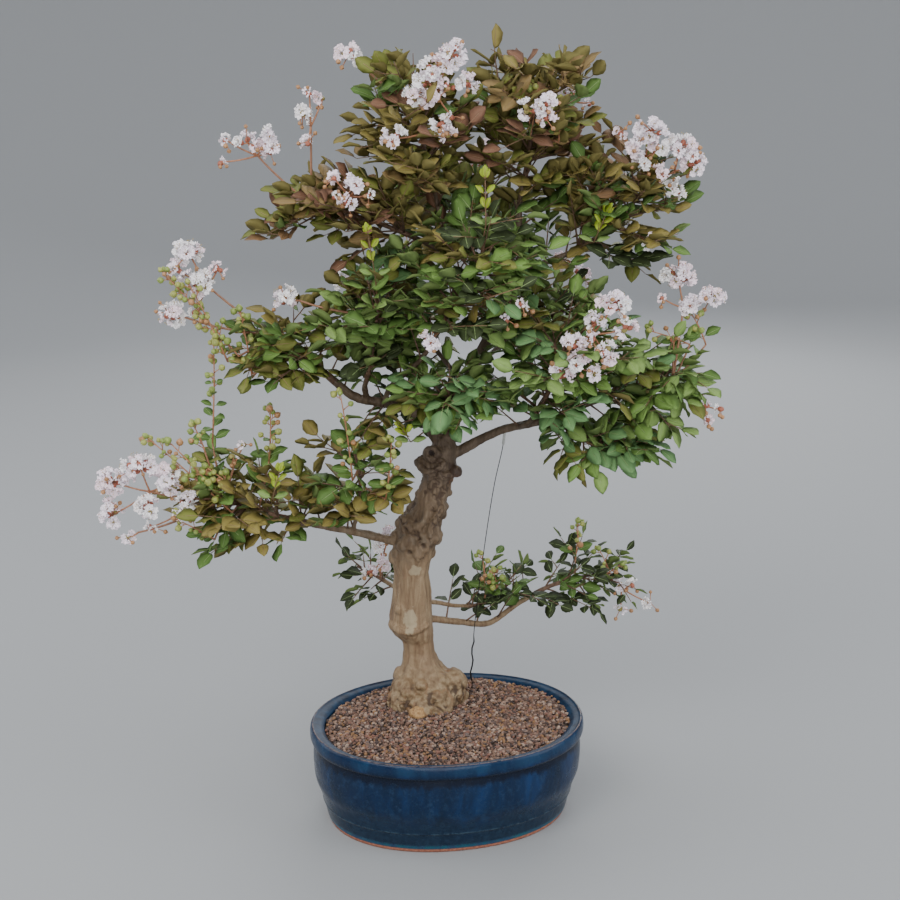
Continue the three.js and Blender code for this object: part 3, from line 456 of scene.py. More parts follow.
def bezier(start, bend, end, steps):
    """Points along the curve from start to end that is drawn towards bend."""
    shares = np.linspace(0, 1, steps + 1)[:, None]
    return (1 - shares) ** 2 * start + 2 * shares * (1 - shares) * bend + shares**2 * end


def length_of(path):
    return float(norm(np.diff(path, axis=0), axis=1).sum())


def place_on(path, share):
    """Place and direction at a share of a path's length."""
    steps = norm(np.diff(path, axis=0), axis=1)
    far = np.concatenate([[0], np.cumsum(steps)])
    want = clip(share) * far[-1]
    i = min(int(np.searchsorted(far, want, side="right")) - 1, len(steps) - 1)
    way = path[i + 1] - path[i]
    return path[i] + way * (want - far[i]) / max(steps[i], 1e-9), unit(way)


def sideways(way):
    """A level direction across a way."""
    side = np.cross(way, UP)
    return unit(side) if norm(side) > 0.05 else vec([1, 0, 0])


def sphere_places(count, roll):
    """Directions spread evenly over a sphere."""
    turn = roll() * 2 * math.pi
    places = []
    for i in range(count):
        height = 1 - (2 * i + 1) / count
        reach = math.sqrt(1 - height * height)
        angle = turn + i * GOLDEN_ANGLE
        places.append(vec([reach * math.cos(angle), reach * math.sin(angle), height]))
    return places


# Meshes

class Pile:
    """Triangles gathered for one joined mesh, each with the number of its material."""

    def __init__(self):
        self.points, self.faces, self.slots, self.count = [], [], [], 0

    def add(self, points, faces, slot=0):
        faces = np.asarray(faces)
        self.points.append(np.asarray(points, float))
        self.faces.append(faces + self.count)
        self.slots.append(np.broadcast_to(np.asarray(slot), (len(faces),)))
        self.count += len(points)


def mesh_from(name, pile, smooth=True):
    """A mesh of a pile's triangles, in metres."""
    points = np.concatenate(pile.points) * MM
    faces = np.concatenate(pile.faces).astype(np.int32)
    mesh = bpy.data.meshes.new(name)
    mesh.vertices.add(len(points))
    mesh.vertices.foreach_set("co", points.ravel())
    mesh.loops.add(faces.size)
    mesh.loops.foreach_set("vertex_index", faces.ravel())
    mesh.polygons.add(len(faces))
    mesh.polygons.foreach_set("loop_start", np.arange(0, faces.size, 3, dtype=np.int32))
    mesh.polygons.foreach_set("material_index", np.concatenate(pile.slots).astype(np.int32))
    mesh.polygons.foreach_set("use_smooth", np.full(len(faces), smooth))
    mesh.update(calc_edges=True)
    return mesh


def values_of(items, key, kind=float, width=3):
    """One property of all of a mesh's points, edges or corners."""
    values = np.empty(len(items) * width, kind)
    items.foreach_get(key, values)
    return values.reshape(-1, width)


def placed(name, data):
    """A new object in the scene."""
    obj = bpy.data.objects.new(name, data)
    bpy.context.scene.collection.objects.link(obj)
    return obj


def piece(name, shape, materials, replaces=(), smooth=True):
    """A finished piece of the plant or its pot, from a mesh or a pile. It rides with the frame's one body."""
    mesh = mesh_from(name, shape, smooth) if isinstance(shape, Pile) else shape
    obj = placed(name, mesh)
    for material in materials:
        mesh.materials.append(material)
    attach(obj, "root")
    if replaces:
        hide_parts(*replaces)


def ring_faces(rings, sides, caps=0):
    """Triangles between the rings of a tube, and over one or both ends, round the points after the rings."""
    middle, end = rings * sides, (rings - 1) * sides
    faces = []
    for ring in range(rings - 1):
        for side in range(sides):
            a, b = ring * sides + side, ring * sides + (side + 1) % sides
            faces += [(a, b, b + sides), (a, b + sides, a + sides)]
    for side in range(sides if caps else 0):
        after = (side + 1) % sides
        faces.append((middle, after, side))
        if caps > 1:
            faces.append((middle + 1, end + side, end + after))
    return faces


def ring_points(profile, sides):
    """The points of each ring of a turned shape, from its radii and heights."""
    angles = np.arange(sides) * 2 * math.pi / sides
    return [np.column_stack([r * np.cos(angles), r * np.sin(angles), np.full(sides, z)]) for r, z in profile]


@functools.cache
def tube_faces(rings, sides):
    return np.array(ring_faces(rings, sides, 2))


def add_tube(pile, path, radii, sides, slot=0):
    """A closed round tube along a path, with a radius at each of its points."""
    rings = len(path)
    ways = np.gradient(path, axis=0)
    ways /= np.maximum(norm(ways, axis=1), 1e-9)[:, None]
    across = unit(np.cross(ways[0], vec([0.31, 0.83, 0.46])))
    angles = np.arange(sides) * 2 * math.pi / sides
    points = np.empty((rings * sides + 2, 3))
    for i in range(rings):
        across = unit(across - ways[i] * np.dot(across, ways[i]))
        side = np.cross(ways[i], across)
        circle = np.outer(np.cos(angles), across) + np.outer(np.sin(angles), side)
        points[i * sides:(i + 1) * sides] = path[i] + circle * radii[i]
    points[-2] = path[0]
    points[-1] = path[-1] + ways[-1] * radii[-1] * 0.6
    pile.add(points, tube_faces(rings, sides), slot)


def bent_tube(pile, start, end, lift, radii, sides=5, slot=0, middle=0.5, steps=4):
    """A tube along a curve from start to end, drawn towards a place between them that is moved by lift."""
    path = bezier(start, lerp(start, end, middle) + lift, end, steps)
    add_tube(pile, path, np.linspace(*radii, steps + 1) if len(radii) == 2 else radii, sides, slot)
    return path


def icosphere(subdivisions):
    """Points and triangles of a unit icosphere."""
    bm = bmesh.new()
    bmesh.ops.create_icosphere(bm, subdivisions=subdivisions, radius=1)
    points = np.array([v.co[:] for v in bm.verts])
    faces = np.array([[v.index for v in f.verts] for f in bm.faces])
    bm.free()
    return points, faces


def applied(name, pile, *modifiers):
    """The mesh of a pile with these modifiers applied: each is a type and its settings."""
    obj = placed(name, mesh_from(name, pile))
    for kind, settings in modifiers:
        modifier = obj.modifiers.new(kind, kind)
        for key, value in settings.items():
            setattr(modifier, key, value)
    bpy.context.view_layer.update()
    shaped = obj.evaluated_get(bpy.context.evaluated_depsgraph_get())
    mesh = bpy.data.meshes.new_from_object(shaped)
    bpy.data.objects.remove(obj, do_unlink=True)
    return mesh


# Materials

def plain(name, colour, roughness, **sockets):
    """A material with the same colour all over."""
    material = bpy.data.materials.new(name)
    material.use_nodes = True
    shader = material.node_tree.nodes["Principled BSDF"]
    shader.inputs["Base Color"].default_value = (*colour, 1)
    shader.inputs["Roughness"].default_value = roughness
    for socket, value in sockets.items():
        shader.inputs[socket.replace("_", " ")].default_value = value
    return material


class Nodes:
    """Short calls for the nodes of one procedural material."""

    def __init__(self, material):
        self.tree = material.node_tree
        self.shader = self.tree.nodes["Principled BSDF"]
        self.place = self.tree.nodes.new("ShaderNodeTexCoord").outputs["Object"]

    def feed(self, socket, value):
        """Links another node's output to a socket, or sets it to a number, a vector or a colour."""
        if isinstance(value, bpy.types.NodeSocket):
            self.tree.links.new(value, socket)
        else:
            socket.default_value = (*value, 1) if socket.type == "RGBA" else value

    def make(self, kind, output, inputs, **settings):
        """One output of a new node with these inputs and settings."""
        node = self.tree.nodes.new("ShaderNode" + kind)
        for key, value in settings.items():
            setattr(node, key, value)
        for key, value in inputs.items():
            self.feed(node.inputs[key], value)
        return node.outputs[output]

    def scaled(self, scale):
        """Object coordinates in millimetres, scaled along each axis."""
        return self.make("Mapping", "Vector", {"Vector": self.place, "Scale": [1 / MM / s for s in scale]})

    def noise(self, scale, detail=3.0, rough=0.55, warp=0.0):
        inputs = {"Scale": 1, "Detail": detail, "Roughness": rough, "Distortion": warp}
        return self.make("TexNoise", "Fac", {"Vector": self.scaled(scale), **inputs})

    def attribute(self, name):
        return self.make("Attribute", "Fac", {}, attribute_name=name)

    def away(self, middle, reach):
        """How far a place lies from a middle, as a share of the reach along each axis."""
        there = [m / r for m, r in zip(middle, reach)]
        return self.make("VectorMath", "Value", {0: self.scaled(reach), 1: there}, operation="DISTANCE")

    def height(self):
        """The height in millimetres."""
        return self.make("SeparateXYZ", "Z", {"Vector": self.scaled((1, 1, 1))})

    def add(self, a, b):
        return self.make("Math", "Value", {0: a, 1: b}, operation="ADD")

    def times(self, a, b):
        return self.make("Math", "Value", {0: a, 1: b}, operation="MULTIPLY")

    def ramp(self, value, *stops):
        """A colour for each value: stops are (value, colour)."""
        output = self.make("ValToRGB", "Color", {"Fac": value})
        elements = output.node.color_ramp.elements
        while len(elements) < len(stops):
            elements.new(0.5)
        for element, (position, colour) in zip(elements, stops):
            element.position = position
            element.color = (*colour, 1)
        return output

    def span(self, value, low, high, out_low=0.0, out_high=1.0):
        """The value mapped smoothly from one span to another."""
        inputs = dict(enumerate((value, low, high, out_low, out_high)))
        return self.make("MapRange", "Result", inputs, interpolation_type="SMOOTHSTEP")

    def mix(self, share, a, b):
        """From colour a to colour b. Of the node's many sockets, these are the ones for colours."""
        return self.make("Mix", 2, {0: share, 6: a, 7: b}, data_type="RGBA")

    def bump(self, height, distance):
        normal = self.make("Bump", "Normal", {"Height": height, "Distance": distance * MM})
        self.feed(self.shader.inputs["Normal"], normal)

    def colour(self, source):
        self.feed(self.shader.inputs["Base Color"], source)


def grained(name, colour, roughness, size, dark, light, bump, detail=4, **sockets):
    """A material with grains of this size: dark and light are each a value of the noise and its colour."""
    material = plain(name, colour, roughness, **sockets)
    n = Nodes(material)
    grains = n.noise((size, size, size), detail)
    n.colour(n.ramp(grains, dark, light))
    if bump:
        n.bump(grains, bump)
    return material


def mottled(name, colour, roughness, size, change=0.2, bump=0.0, **sockets):
    """A material whose colour is a little darker and lighter in spots of this size."""
    darker = (0.35, tuple(c * (1 - change) for c in colour))
    lighter = (0.65, tuple(min(1.0, c * (1 + change)) for c in colour))
    return grained(name, colour, roughness, size, darker, lighter, bump, 3, **sockets)


def glaze_material():
    """Blue glaze with streaks and mottles, darker low down, worn along the rim, with a painted shadow under
    the band.
    """
    material = plain("pot_glaze", (0.01, 0.03, 0.08), 0.28, Specular_IOR_Level=0.22, Coat_Weight=0.1,
                     Coat_Roughness=0.18)
    n = Nodes(material)
    streaks = n.noise((20, 20, 75), detail=5, warp=0.7)
    mottles = n.noise((5.5, 5.5, 7.5), detail=4, rough=0.7)
    blotches = n.noise((38, 38, 24), detail=4)
    specks = n.noise((1.7, 1.7, 1.7), detail=2)
    height = n.height()
    rim, ridge = POT["height"], POT["ridge"]
    band = rim - 1 - POT["band"]
    blue = n.ramp(streaks, (0.3, (0.002, 0.010, 0.028)), (0.52, (0.003, 0.015, 0.048)),
                  (0.72, (0.005, 0.029, 0.096)))
    blue = n.mix(n.span(mottles, 0.50, 0.68, 0.0, 0.55), blue, (0.015, 0.040, 0.092))
    low = n.span(n.add(height, n.times(blotches, 60)), 96, 46)
    blue = n.mix(low, blue, n.ramp(mottles, (0.35, (0.004, 0.014, 0.033)), (0.68, (0.010, 0.028, 0.055))))
    on_ridge = n.times(n.span(height, ridge - 1.6, ridge - 0.2), n.span(height, ridge + 1.6, ridge + 0.4))
    blue = n.mix(n.times(on_ridge, n.span(mottles, 0.42, 0.6)), blue, (0.030, 0.058, 0.085))
    blue = n.mix(n.span(n.add(height, n.times(specks, 5)), 13.5, 9.5, 0.0, 0.8),
                 blue, n.ramp(streaks, (0.35, (0.020, 0.050, 0.120)), (0.65, (0.016, 0.110, 0.150))))
    # Painted shadow: a near-black strip under the band's ledge, its lower edge running down in drips.
    shadow_drip_edge = n.add(height, n.times(n.noise((8, 8, 40), detail=3), 18))
    shadow_under_band = n.times(n.span(shadow_drip_edge, band - 4, band + 3), n.span(height, band + 4, band))
    blue = n.mix(shadow_under_band, blue, (0.002, 0.006, 0.019))
    shoulder = n.times(n.span(height, band + 3, band + 8), n.span(height, rim - 0.3, rim - 1.6))
    lighter = n.ramp(streaks, (0.35, (0.003, 0.015, 0.050)), (0.65, (0.007, 0.037, 0.086)))
    blue = n.mix(n.times(shoulder, 0.8), blue, lighter)
    top = n.span(n.add(height, n.times(specks, 0.8)), rim - 0.3, rim + 0.2)
    worn = n.times(top, n.span(mottles, 0.36, 0.52))
    blue = n.mix(n.times(worn, 0.7), blue, (0.170, 0.120, 0.100))
    n.colour(n.mix(n.span(specks, 0.63, 0.72, 0.0, 0.3), blue, (0.040, 0.080, 0.140)))
    n.feed(n.shader.inputs["Roughness"], n.span(blotches, 0.3, 0.7, 0.2, 0.38))
    n.bump(n.add(n.noise((9, 9, 12), detail=2), n.times(specks, 0.15)), 0.5)
    return material


def bark_material():
    """Tan bark that turns brown and grey higher up, and is knobby at the foot, with painted shade darkening
    its creases, grooves and pits.
    """
    material = plain("bark_smooth", (0.40, 0.30, 0.20), 0.58, Specular_IOR_Level=0.35)
    n = Nodes(material)
    grain = n.noise((6, 6, 46), detail=5, rough=0.6, warp=0.8)
    patches = n.noise((15, 15, 24), detail=3, warp=1.2)
    specks = n.noise((2.2, 2.2, 2.8), detail=3)
    crumbs = n.noise((6, 6, 6), detail=5)
    ragged = n.noise((6, 6, 9), detail=4)
    height = n.height()
    hollow = n.attribute("hollow")
    tan = n.ramp(grain, (0.28, (0.150, 0.087, 0.048)), (0.5, (0.242, 0.164, 0.094)),
                 (0.75, (0.350, 0.258, 0.158)))
    tan = n.mix(n.span(patches, 0.60, 0.68, 0.0, 0.55), tan, (0.255, 0.150, 0.090))
    brown = n.ramp(grain, (0.28, (0.080, 0.049, 0.027)), (0.5, (0.152, 0.102, 0.061)),
                   (0.75, (0.250, 0.184, 0.120)))
    brown = n.mix(n.span(patches, 0.55, 0.66, 0.0, 0.5), brown, (0.165, 0.130, 0.090))
    grey = n.ramp(grain, (0.28, (0.054, 0.035, 0.021)), (0.5, (0.106, 0.073, 0.048)),
                  (0.75, (0.180, 0.132, 0.091)))
    brown = n.mix(n.span(n.add(height, n.times(patches, 60)), 375, 425), brown, grey)
    old = n.span(n.add(height, n.times(patches, 50)), 298, 332)
    bark = n.mix(old, tan, brown)
    cream = n.span(n.add(height, n.times(patches, -30)), 150, 118)
    knobby = n.ramp(crumbs, (0.30, (0.105, 0.056, 0.026)), (0.44, (0.192, 0.126, 0.067)),
                    (0.64, (0.315, 0.236, 0.140)))
    knobby = n.mix(n.span(patches, 0.55, 0.66, 0.0, 0.6), knobby, (0.235, 0.125, 0.060))
    bark = n.mix(n.times(cream, 0.9), bark, knobby)
    bark = n.mix(n.span(specks, 0.34, 0.26, 0.0, 0.6), bark, (0.095, 0.055, 0.030))
    for middle, reach, colour in PATCHES:
        away = n.add(n.away(middle, reach), n.times(ragged, 2.2))
        bark = n.mix(n.span(away, 2.15, 1.85, 0.0, 0.75), bark, colour)
    # Painted shade: the bark darkens where the hollow value marks creases, flute grooves and pits.
    n.colour(n.mix(n.span(hollow, 0.25, 0.95, 0.0, 0.85), bark, (0.050, 0.028, 0.017)))
    n.bump(n.add(grain, n.times(specks, 0.6)), 1.0)
    return material


GRAIN_COLOURS = [
    (0.180, 0.108, 0.074), (0.222, 0.132, 0.096), (0.136, 0.078, 0.056), (0.275, 0.180, 0.136),
    (0.100, 0.064, 0.052), (0.152, 0.110, 0.096), (0.250, 0.136, 0.064), (0.054, 0.036, 0.032),
    (0.192, 0.094, 0.068), (0.335, 0.240, 0.186),
]


# Pot

def oval_plan(points):
    """Turns a round plan into the pot's oval one: every ring keeps its distance from the rim all round."""
    x, y = points[:, 0], points[:, 1]
    reach = np.hypot(x, y)
    narrower = (POT["length"] - POT["width"]) / 2
    even = POT["length"] / 3
    across = np.where(reach > even, reach - narrower, reach * (even - narrower) / even)
    angle = np.arctan2(y, x)
    power = 2 / POT["roundness"]
    px = reach * np.sign(np.cos(angle)) * np.abs(np.cos(angle)) ** power
    py = across * np.sign(np.sin(angle)) * np.abs(np.sin(angle)) ** power
    points[:, 0], points[:, 1] = turned(px, py, POT["turn"])
    return points


def oval_solid(pile, profile, segments):
    """A closed turned shape in the pot's plan, from a profile that starts and ends on its axis."""
    ends = [[0, 0, profile[0][1]], [0, 0, profile[-1][1]]]
    points = np.concatenate([*ring_points(profile[1:-1], segments), ends])
    pile.add(oval_plan(points), ring_faces(len(profile) - 2, segments, 2))


def inner_reach(height):
    """Half the length of the pot's hollow at a height."""
    rim = POT["length"] / 2 - POT["lip"]
    at_floor = POT["length"] / 2 - POT["foot"] - POT["wall"]
    along = (height - POT["floor"]) / (POT["height"] - 6 - POT["floor"])
    return lerp(at_floor, rim, math.sin(min(along, 1) * math.pi / 2))


def rounded(points, per_span=5):
    """The curve through the points of one stretch of a profile."""
    return [tuple(p[:2]) for p in smooth_route([(r, z, 0) for r, z in points], per_span)]


def pot_profile():
    """The pot's section as radii and heights: from under its middle, round the rim, to the floor inside."""
    rim = POT["length"] / 2
    foot = rim - POT["foot"]
    height, band = POT["height"], POT["height"] - 1 - POT["band"]
    bare, ridge = POT["bare_foot"], POT["ridge"]
    base = [(foot - 2, 0), (foot - 0.6, 0.6), (foot, bare - 0.8), (foot - 0.2, bare)]
    body = [(foot + 1.2, bare + 1), (foot + 2.2, 9), (foot + 3.8, 16), (foot + 5.6, ridge - 1.2),
            (foot + 6.9, ridge), (foot + 6.9, ridge + 1.4), (foot + 9.4, 37), (rim - 5, 50), (rim - 3.6, 62),
            (rim - 3.2, 72), (rim - 3.7, 83), (rim - 4.6, band - 4), (rim - 5, band - 1.4)]
    lip = [(rim - 1.6, band), (rim - 0.4, band + 2.6), (rim, height - 8), (rim - 0.5, height - 3.6),
           (rim - 1.6, height - 1.1), (rim - 3.2, height - 0.1), (rim - 5.5, height - 1.1),
           (rim - 11.5, height - 2.6), (rim - POT["lip"], height - 6)]
    inside = [(inner_reach(z), z) for z in np.linspace(height - 8, POT["floor"] + 1, 9)]
    return [(0, 0), *base, *rounded(body), *rounded(lip), *inside, (0, POT["floor"])]


def drain_holes():
    """Two upright rods where the pot's floor has its holes."""
    rods = Pile()
    for end in (-1, 1):
        x, y = turned(end * POT["drain_spacing"] / 2, 0, POT["turn"])
        path = np.array([[x, y, -5], [x, y, 2 * POT["floor"]]])
        add_tube(rods, path, [POT["drain_radius"]] * 2, 32)
    return placed("pot_holes", mesh_from("pot_holes", rods, smooth=False))


def make_pot():
    pile = Pile()
    oval_solid(pile, pot_profile(), POT["segments"])
    cutter = drain_holes()
    settings = {"object": cutter, "operation": "DIFFERENCE", "solver": "EXACT"}
    mesh = applied("pot_rough", pile, ("BOOLEAN", settings))
    bpy.data.objects.remove(cutter, do_unlink=True)
    for face in mesh.polygons:
        level = max(mesh.vertices[i].co.z for i in face.vertices) / MM
        inward = face.center.xy.normalized().dot(face.normal.xy) < -0.15
        bare = level <= POT["bare_foot"] + 0.1
        face.material_index = 1 if bare else 2 if inward and level > POT["floor"] else 0
    clay = grained("pot_clay", (0.30, 0.10, 0.055), 0.8, 3, (0.3, (0.230, 0.075, 0.045)),
                   (0.7, (0.420, 0.165, 0.105)), 0.3)
    # The lip's inward slope and the inside wall, the faces turned inwards, get a darker blue: painted shade
    # of the pot's inside.
    inner = grained("pot_glaze_inside_shade", (0.004, 0.018, 0.050), 0.4, 12, (0.35, (0.003, 0.010, 0.030)),
                    (0.7, (0.008, 0.040, 0.092)), 0.4, Specular_IOR_Level=0.18)
    piece("pot_glazed", mesh, [glaze_material(), clay, inner], ["pot"])


# Grit

def grit_height(x, y):
    """Height of the grit at a place, with the level patch round the trunk blended in."""
    across = POT["width"] / 2 - POT["lip"]
    reach = math.hypot(x / (POT["length"] / 2 - POT["lip"]), y / across)
    edge = lerp(SOIL["front_edge"], SOIL["back_edge"], (y + across) / (2 * across))
    mound = min(edge + SOIL["rise"] * max(0, 1 - reach**2), FOOT["height"])
    away = math.hypot((x - FOOT["x"]) / FOOT["half_width"], (y - FOOT["y"]) / FOOT["half_depth"])
    level = lerp(FOOT["height"], mound, eased(clip((away - 1) * FOOT["half_depth"] / FOOT["blend"])))
    heap = max(0, 1 - math.hypot(x - HEAP["x"], y - HEAP["y"]) / HEAP["reach"])
    return level + HEAP["rise"] * eased(heap)


def make_grit():
    level = SOIL["front_edge"] - 1
    outer = inner_reach(level) - 0.6
    bottom = level - SOIL["depth"]
    profile = [(0, bottom), (inner_reach(bottom) - 0.6, bottom), (outer, level)]
    profile += [(outer * ring / SOIL["rings"], POT["height"]) for ring in range(SOIL["rings"], 0, -1)]
    pile = Pile()
    oval_solid(pile, [*profile, (0, POT["height"])], 96)
    points = pile.points[0]
    for point in points:
        if point[2] > level + 0.5:
            point[2] = grit_height(point[0], point[1]) - 1.6
    soil = grained("grit_bed", (0.05, 0.035, 0.025), 0.95, 4, (0.35, (0.018, 0.012, 0.009)),
                   (0.7, (0.120, 0.080, 0.055)), 1.5)
    piece("grit_bed", pile, [soil], ["soil"])


def grain_places(roll):
    """Places on a jittered grid over the grit, inside the pot's wall."""
    spacing = GRAIN["spacing"]
    places = []
    half = POT["length"] / 2
    rows = int(POT["length"] / (spacing * 0.87))
    for row in range(rows):
        for column in range(int(POT["length"] / spacing)):
            u = -half + (column + 0.5 * (row % 2) + 0.9 * (roll() - 0.5)) * spacing
            v = -half + (row + 0.9 * (roll() - 0.5)) * spacing * 0.87
            edge = inner_reach(SOIL["front_edge"]) - 1.8
            narrow = edge - (POT["length"] - POT["width"]) / 2
            if (abs(u) / edge) ** POT["roundness"] + (abs(v) / narrow) ** POT["roundness"] > 1:
                continue
            places.append(turned(u, v, POT["turn"]))
    return places


def make_grains():
    roll = dice(SEEDS["grit"])
    ball, faces = icosphere(1)
    pile = Pile()
    for x, y in grain_places(roll):
        if math.hypot((x - FOOT["x"]) / 40, (y - FOOT["y"]) / 33) < 1:
            continue
        layers = 2 if roll() < GRAIN["upper_share"] else 1
        for layer in range(layers):
            radius = between(GRAIN["radius"], roll() ** 1.6) * (1 - 0.15 * layer)
            size = radius * np.array([0.8 + 0.5 * roll(), 0.8 + 0.5 * roll(), 0.65 + 0.4 * roll()])
            turn = roll() * math.pi
            rough = np.array([0.75 + 0.5 * roll() for _ in ball])[:, None]
            grain = ball * rough * size
            grain = np.column_stack([*turned(grain[:, 0], grain[:, 1], turn), grain[:, 2]])
            off = layer * GRAIN["spacing"] * 0.5
            lift = grit_height(x, y) - 0.6 + 0.8 * roll() + layer * 1.2
            pile.add(grain + [x + off, y, lift], faces, int(roll() * len(GRAIN_COLOURS)))
    materials = [mottled(f"grain_{i + 1}", colour, 0.9, 1.5) for i, colour in enumerate(GRAIN_COLOURS)]
    piece("grit_grains", pile, materials, smooth=False)


# Trunk and boughs

LIMB_PATHS = {name: smooth_route(route) for name, (route, _) in LIMBS.items()}


def limb_radii(name, count):
    thick, thin = LIMBS[name][1]
    return [lerp(thick, thin, share**0.8) for share in np.linspace(0, 1, count)]


def trunk_rings():
    """The trunk's middle line and half widths, smoothed between its sections."""
    rows = smooth_route([(x, y, z) for z, x, y, _ in TRUNK_SECTIONS], 6)
    heights = [row[0] for row in TRUNK_SECTIONS]
    widths = [row[3] for row in TRUNK_SECTIONS]
    return [(x, y, z, float(np.interp(z, heights, widths))) for x, y, z in rows]


def add_trunk(pile):
    rings = trunk_rings()
    sides = TRUNK["sides"]
    points = []
    for x, y, z, half in rings:
        fade = clip((TRUNK["lobe_top"] - z) / (TRUNK["lobe_top"] - FOOT["height"]))
        depth = lerp(TRUNK["depth"], TRUNK["foot_depth"], fade)
        for s in range(sides):
            angle = s * 2 * math.pi / sides
            lobe = 1 + TRUNK["lobes"] * (fade + 0.25) * math.cos(3 * angle + 0.6 + z / 60)
            points.append((x + math.cos(angle) * half * lobe, y + math.sin(angle) * half * depth * lobe, z))
    points += [rings[0][:3], (rings[-1][0], rings[-1][1], rings[-1][2] + 1)]
    pile.add(points, ring_faces(len(rings), sides, 2))


def add_knobs(pile):
    ball, faces = icosphere(3)
    for x, y, z, radius in KNOBS:
        pile.add(ball * radius + [x, y, z], faces)
    roll = dice(SEEDS["lumps"])
    heights = [row[0] for row in TRUNK_SECTIONS]
    for low, high, count, radii in LUMPS:
        for i in range(count):
            angle = i * GOLDEN_ANGLE
            height = between((low, high), roll())
            radius = between(radii, roll())
            x, y, half = [np.interp(height, heights, [row[k] for row in TRUNK_SECTIONS]) for k in (1, 2, 3)]
            reach = half - radius * (0.3 + 0.3 * roll())
            x += reach * math.cos(angle)
            y += reach * TRUNK["depth"] * math.sin(angle)
            pile.add(ball * radius * [1, 1, 0.75 + 0.4 * roll()] + [x, y, height], faces)
    for route, (thick, thin) in LEDGES:
        line = smooth_route(route)
        add_tube(pile, line, np.linspace(thick, thin, len(line)), 12)


def wood_points():
    """Places along all the wood with its radius there, for telling thick from thin."""
    places = [(vec([x, y, z]), half) for x, y, z, half in trunk_rings()]
    for name, path in LIMB_PATHS.items():
        places += list(zip(path, limb_radii(name, len(path))))
    return places


def tree_of(places):
    tree = kdtree.KDTree(len(places))
    for i, (place, _) in enumerate(places):
        tree.insert(Vector(place), i)
    tree.balance()
    return tree


WOOD = wood_points()
WOOD_TREE = tree_of(WOOD)


def bumps(point, across, along, move=0.0, rise=0.0):
    """Smooth noise at a place in the wood, in bumps of this size across and along it."""
    x, y, z = point
    return noise.noise(Vector((x / across + move, y / across, z / along + rise)))


def relief(point, thick):
    """How far the bark stands out at a place in wood of this radius, and how deep in a crease or flute groove
    it lies, which sets the painted shade there.
    """
    x, y, z = point
    share = min(1.0, thick / BARK["full_radius"])
    rough = clip((z - BARK["rough_from"]) / BARK["fade"])
    knobby = clip((BARK["knobby_to"] - z) / BARK["fade"])
    lump = bumps(point, *BARK["lump_size"]) * BARK["lump"] * (0.35 + 0.6 * rough + 0.5 * knobby)
    small = bumps(point, *BARK["small_size"], rise=9) * BARK["small"] * (0.2 + rough + 0.7 * knobby)
    flute = bumps(point, *BARK["flute_size"], rise=3) * BARK["flute"] * (1.25 - 0.6 * rough)
    fine = bumps(point, *BARK["fine_size"]) * BARK["fine"]
    cell = BARK["cell"][0 if rough > 0 else 1]
    bend = bumps(point, *BARK["bend_size"])
    near, second = noise.voronoi(Vector((x / cell + bend, y / cell + 0.6 * bend, z / cell - bend)))[0][:2]
    here = clip(bumps(point, *BARK["creased_size"], move=5) * 3 + 0.6)
    crease = max(0.0, 1 - (second - near) * 3.4) * max(rough * share, knobby) * here
    out = share * (lump + small + flute) + fine * min(1.0, thick / 5) - crease * crease * BARK["crease"]
    grain = max(0.0, -flute / BARK["flute"]) * 0.6
    return out, min(1.0, crease * 0.9 + grain)


def bark_hull():
    """Trunk, knobs and boughs melted into one closed mesh."""
    pile = Pile()
    add_trunk(pile)
    add_knobs(pile)
    for name, path in LIMB_PATHS.items():
        add_tube(pile, path, limb_radii(name, len(path)), 12)
    return applied(
        "bark_rough", pile,
        ("REMESH", {"mode": "VOXEL", "voxel_size": BARK["voxel"] * MM, "use_smooth_shade": True}),
        ("SMOOTH", {"factor": 0.5, "iterations": 5}),
        ("TRIANGULATE", {}),
    )


def dig_pits(points, normals, hollow):
    """Presses the pits into the bark, adds them to the painted shade of the hollow value, and tells which
    points lie within a deep one, whose faces get a near-black painted shade.
    """
    pit_shaded = np.zeros(len(points), bool)
    for x, y, z, radius, depth in PITS:
        middle = points[np.argmin(norm(points - [x, y, z], axis=1))].copy()
        away = norm(points - middle, axis=1) / radius
        near = away < 1.25
        dip = np.clip(1 - away[near] ** 2, 0, 1)
        points[near] -= normals[near] * (dip * depth)[:, None]
        hollow[near] = np.maximum(hollow[near], dip)
        pit_shaded |= (away < 0.8) & (depth > 5)
    return pit_shaded


def make_bark():
    mesh = bark_hull()
    points = values_of(mesh.vertices, "co") / MM
    normals = values_of(mesh.vertices, "normal")
    hollow = np.zeros(len(points))
    for i, point in enumerate(points):
        _, index, _ = WOOD_TREE.find(Vector(point))
        out, hollow[i] = relief(point, WOOD[index][1])
        points[i] = point + normals[i] * out
    pit_shaded = dig_pits(points, normals, hollow)
    mesh.vertices.foreach_set("co", (points * MM).ravel())
    mesh.update()
    # The hollow value is stored for the painted shade in creases, grooves and pits.
    mesh.attributes.new("hollow", "FLOAT", "POINT").data.foreach_set("value", hollow)
    corners = values_of(mesh.loops, "vertex_index", np.int32, 1).reshape(-1, 3)
    # Faces deep in the hollow of the old pruning cut get the near-black material: painted shade.
    dark = pit_shaded[corners].all(axis=1)
    mesh.polygons.foreach_set("material_index", dark.astype(np.int32))
    pit_shade = mottled("bark_pit_shade", (0.026, 0.016, 0.012), 0.8, 2.0)
    piece("bark", mesh, [bark_material(), pit_shade], ["trunk", *LIMBS])


def make_ochre_root():
    x, y, z, radius = OCHRE_ROOT
    ball, faces = icosphere(4)
    swell = [1 + 0.22 * noise.noise(Vector(p * 1.7)) + 0.05 * noise.noise(Vector(p * 6)) for p in ball]
    pile = Pile()
    pile.add(ball * np.array(swell)[:, None] * radius * [1.1, 1, 0.95] + [x, y, z], faces)
    ochre = grained("root_ochre", (0.42, 0.25, 0.10), 0.7, 3, (0.3, (0.240, 0.125, 0.050)),
                    (0.65, (0.460, 0.285, 0.125)), 0.8)
    piece("root_front", pile, [ochre])


# Foliage

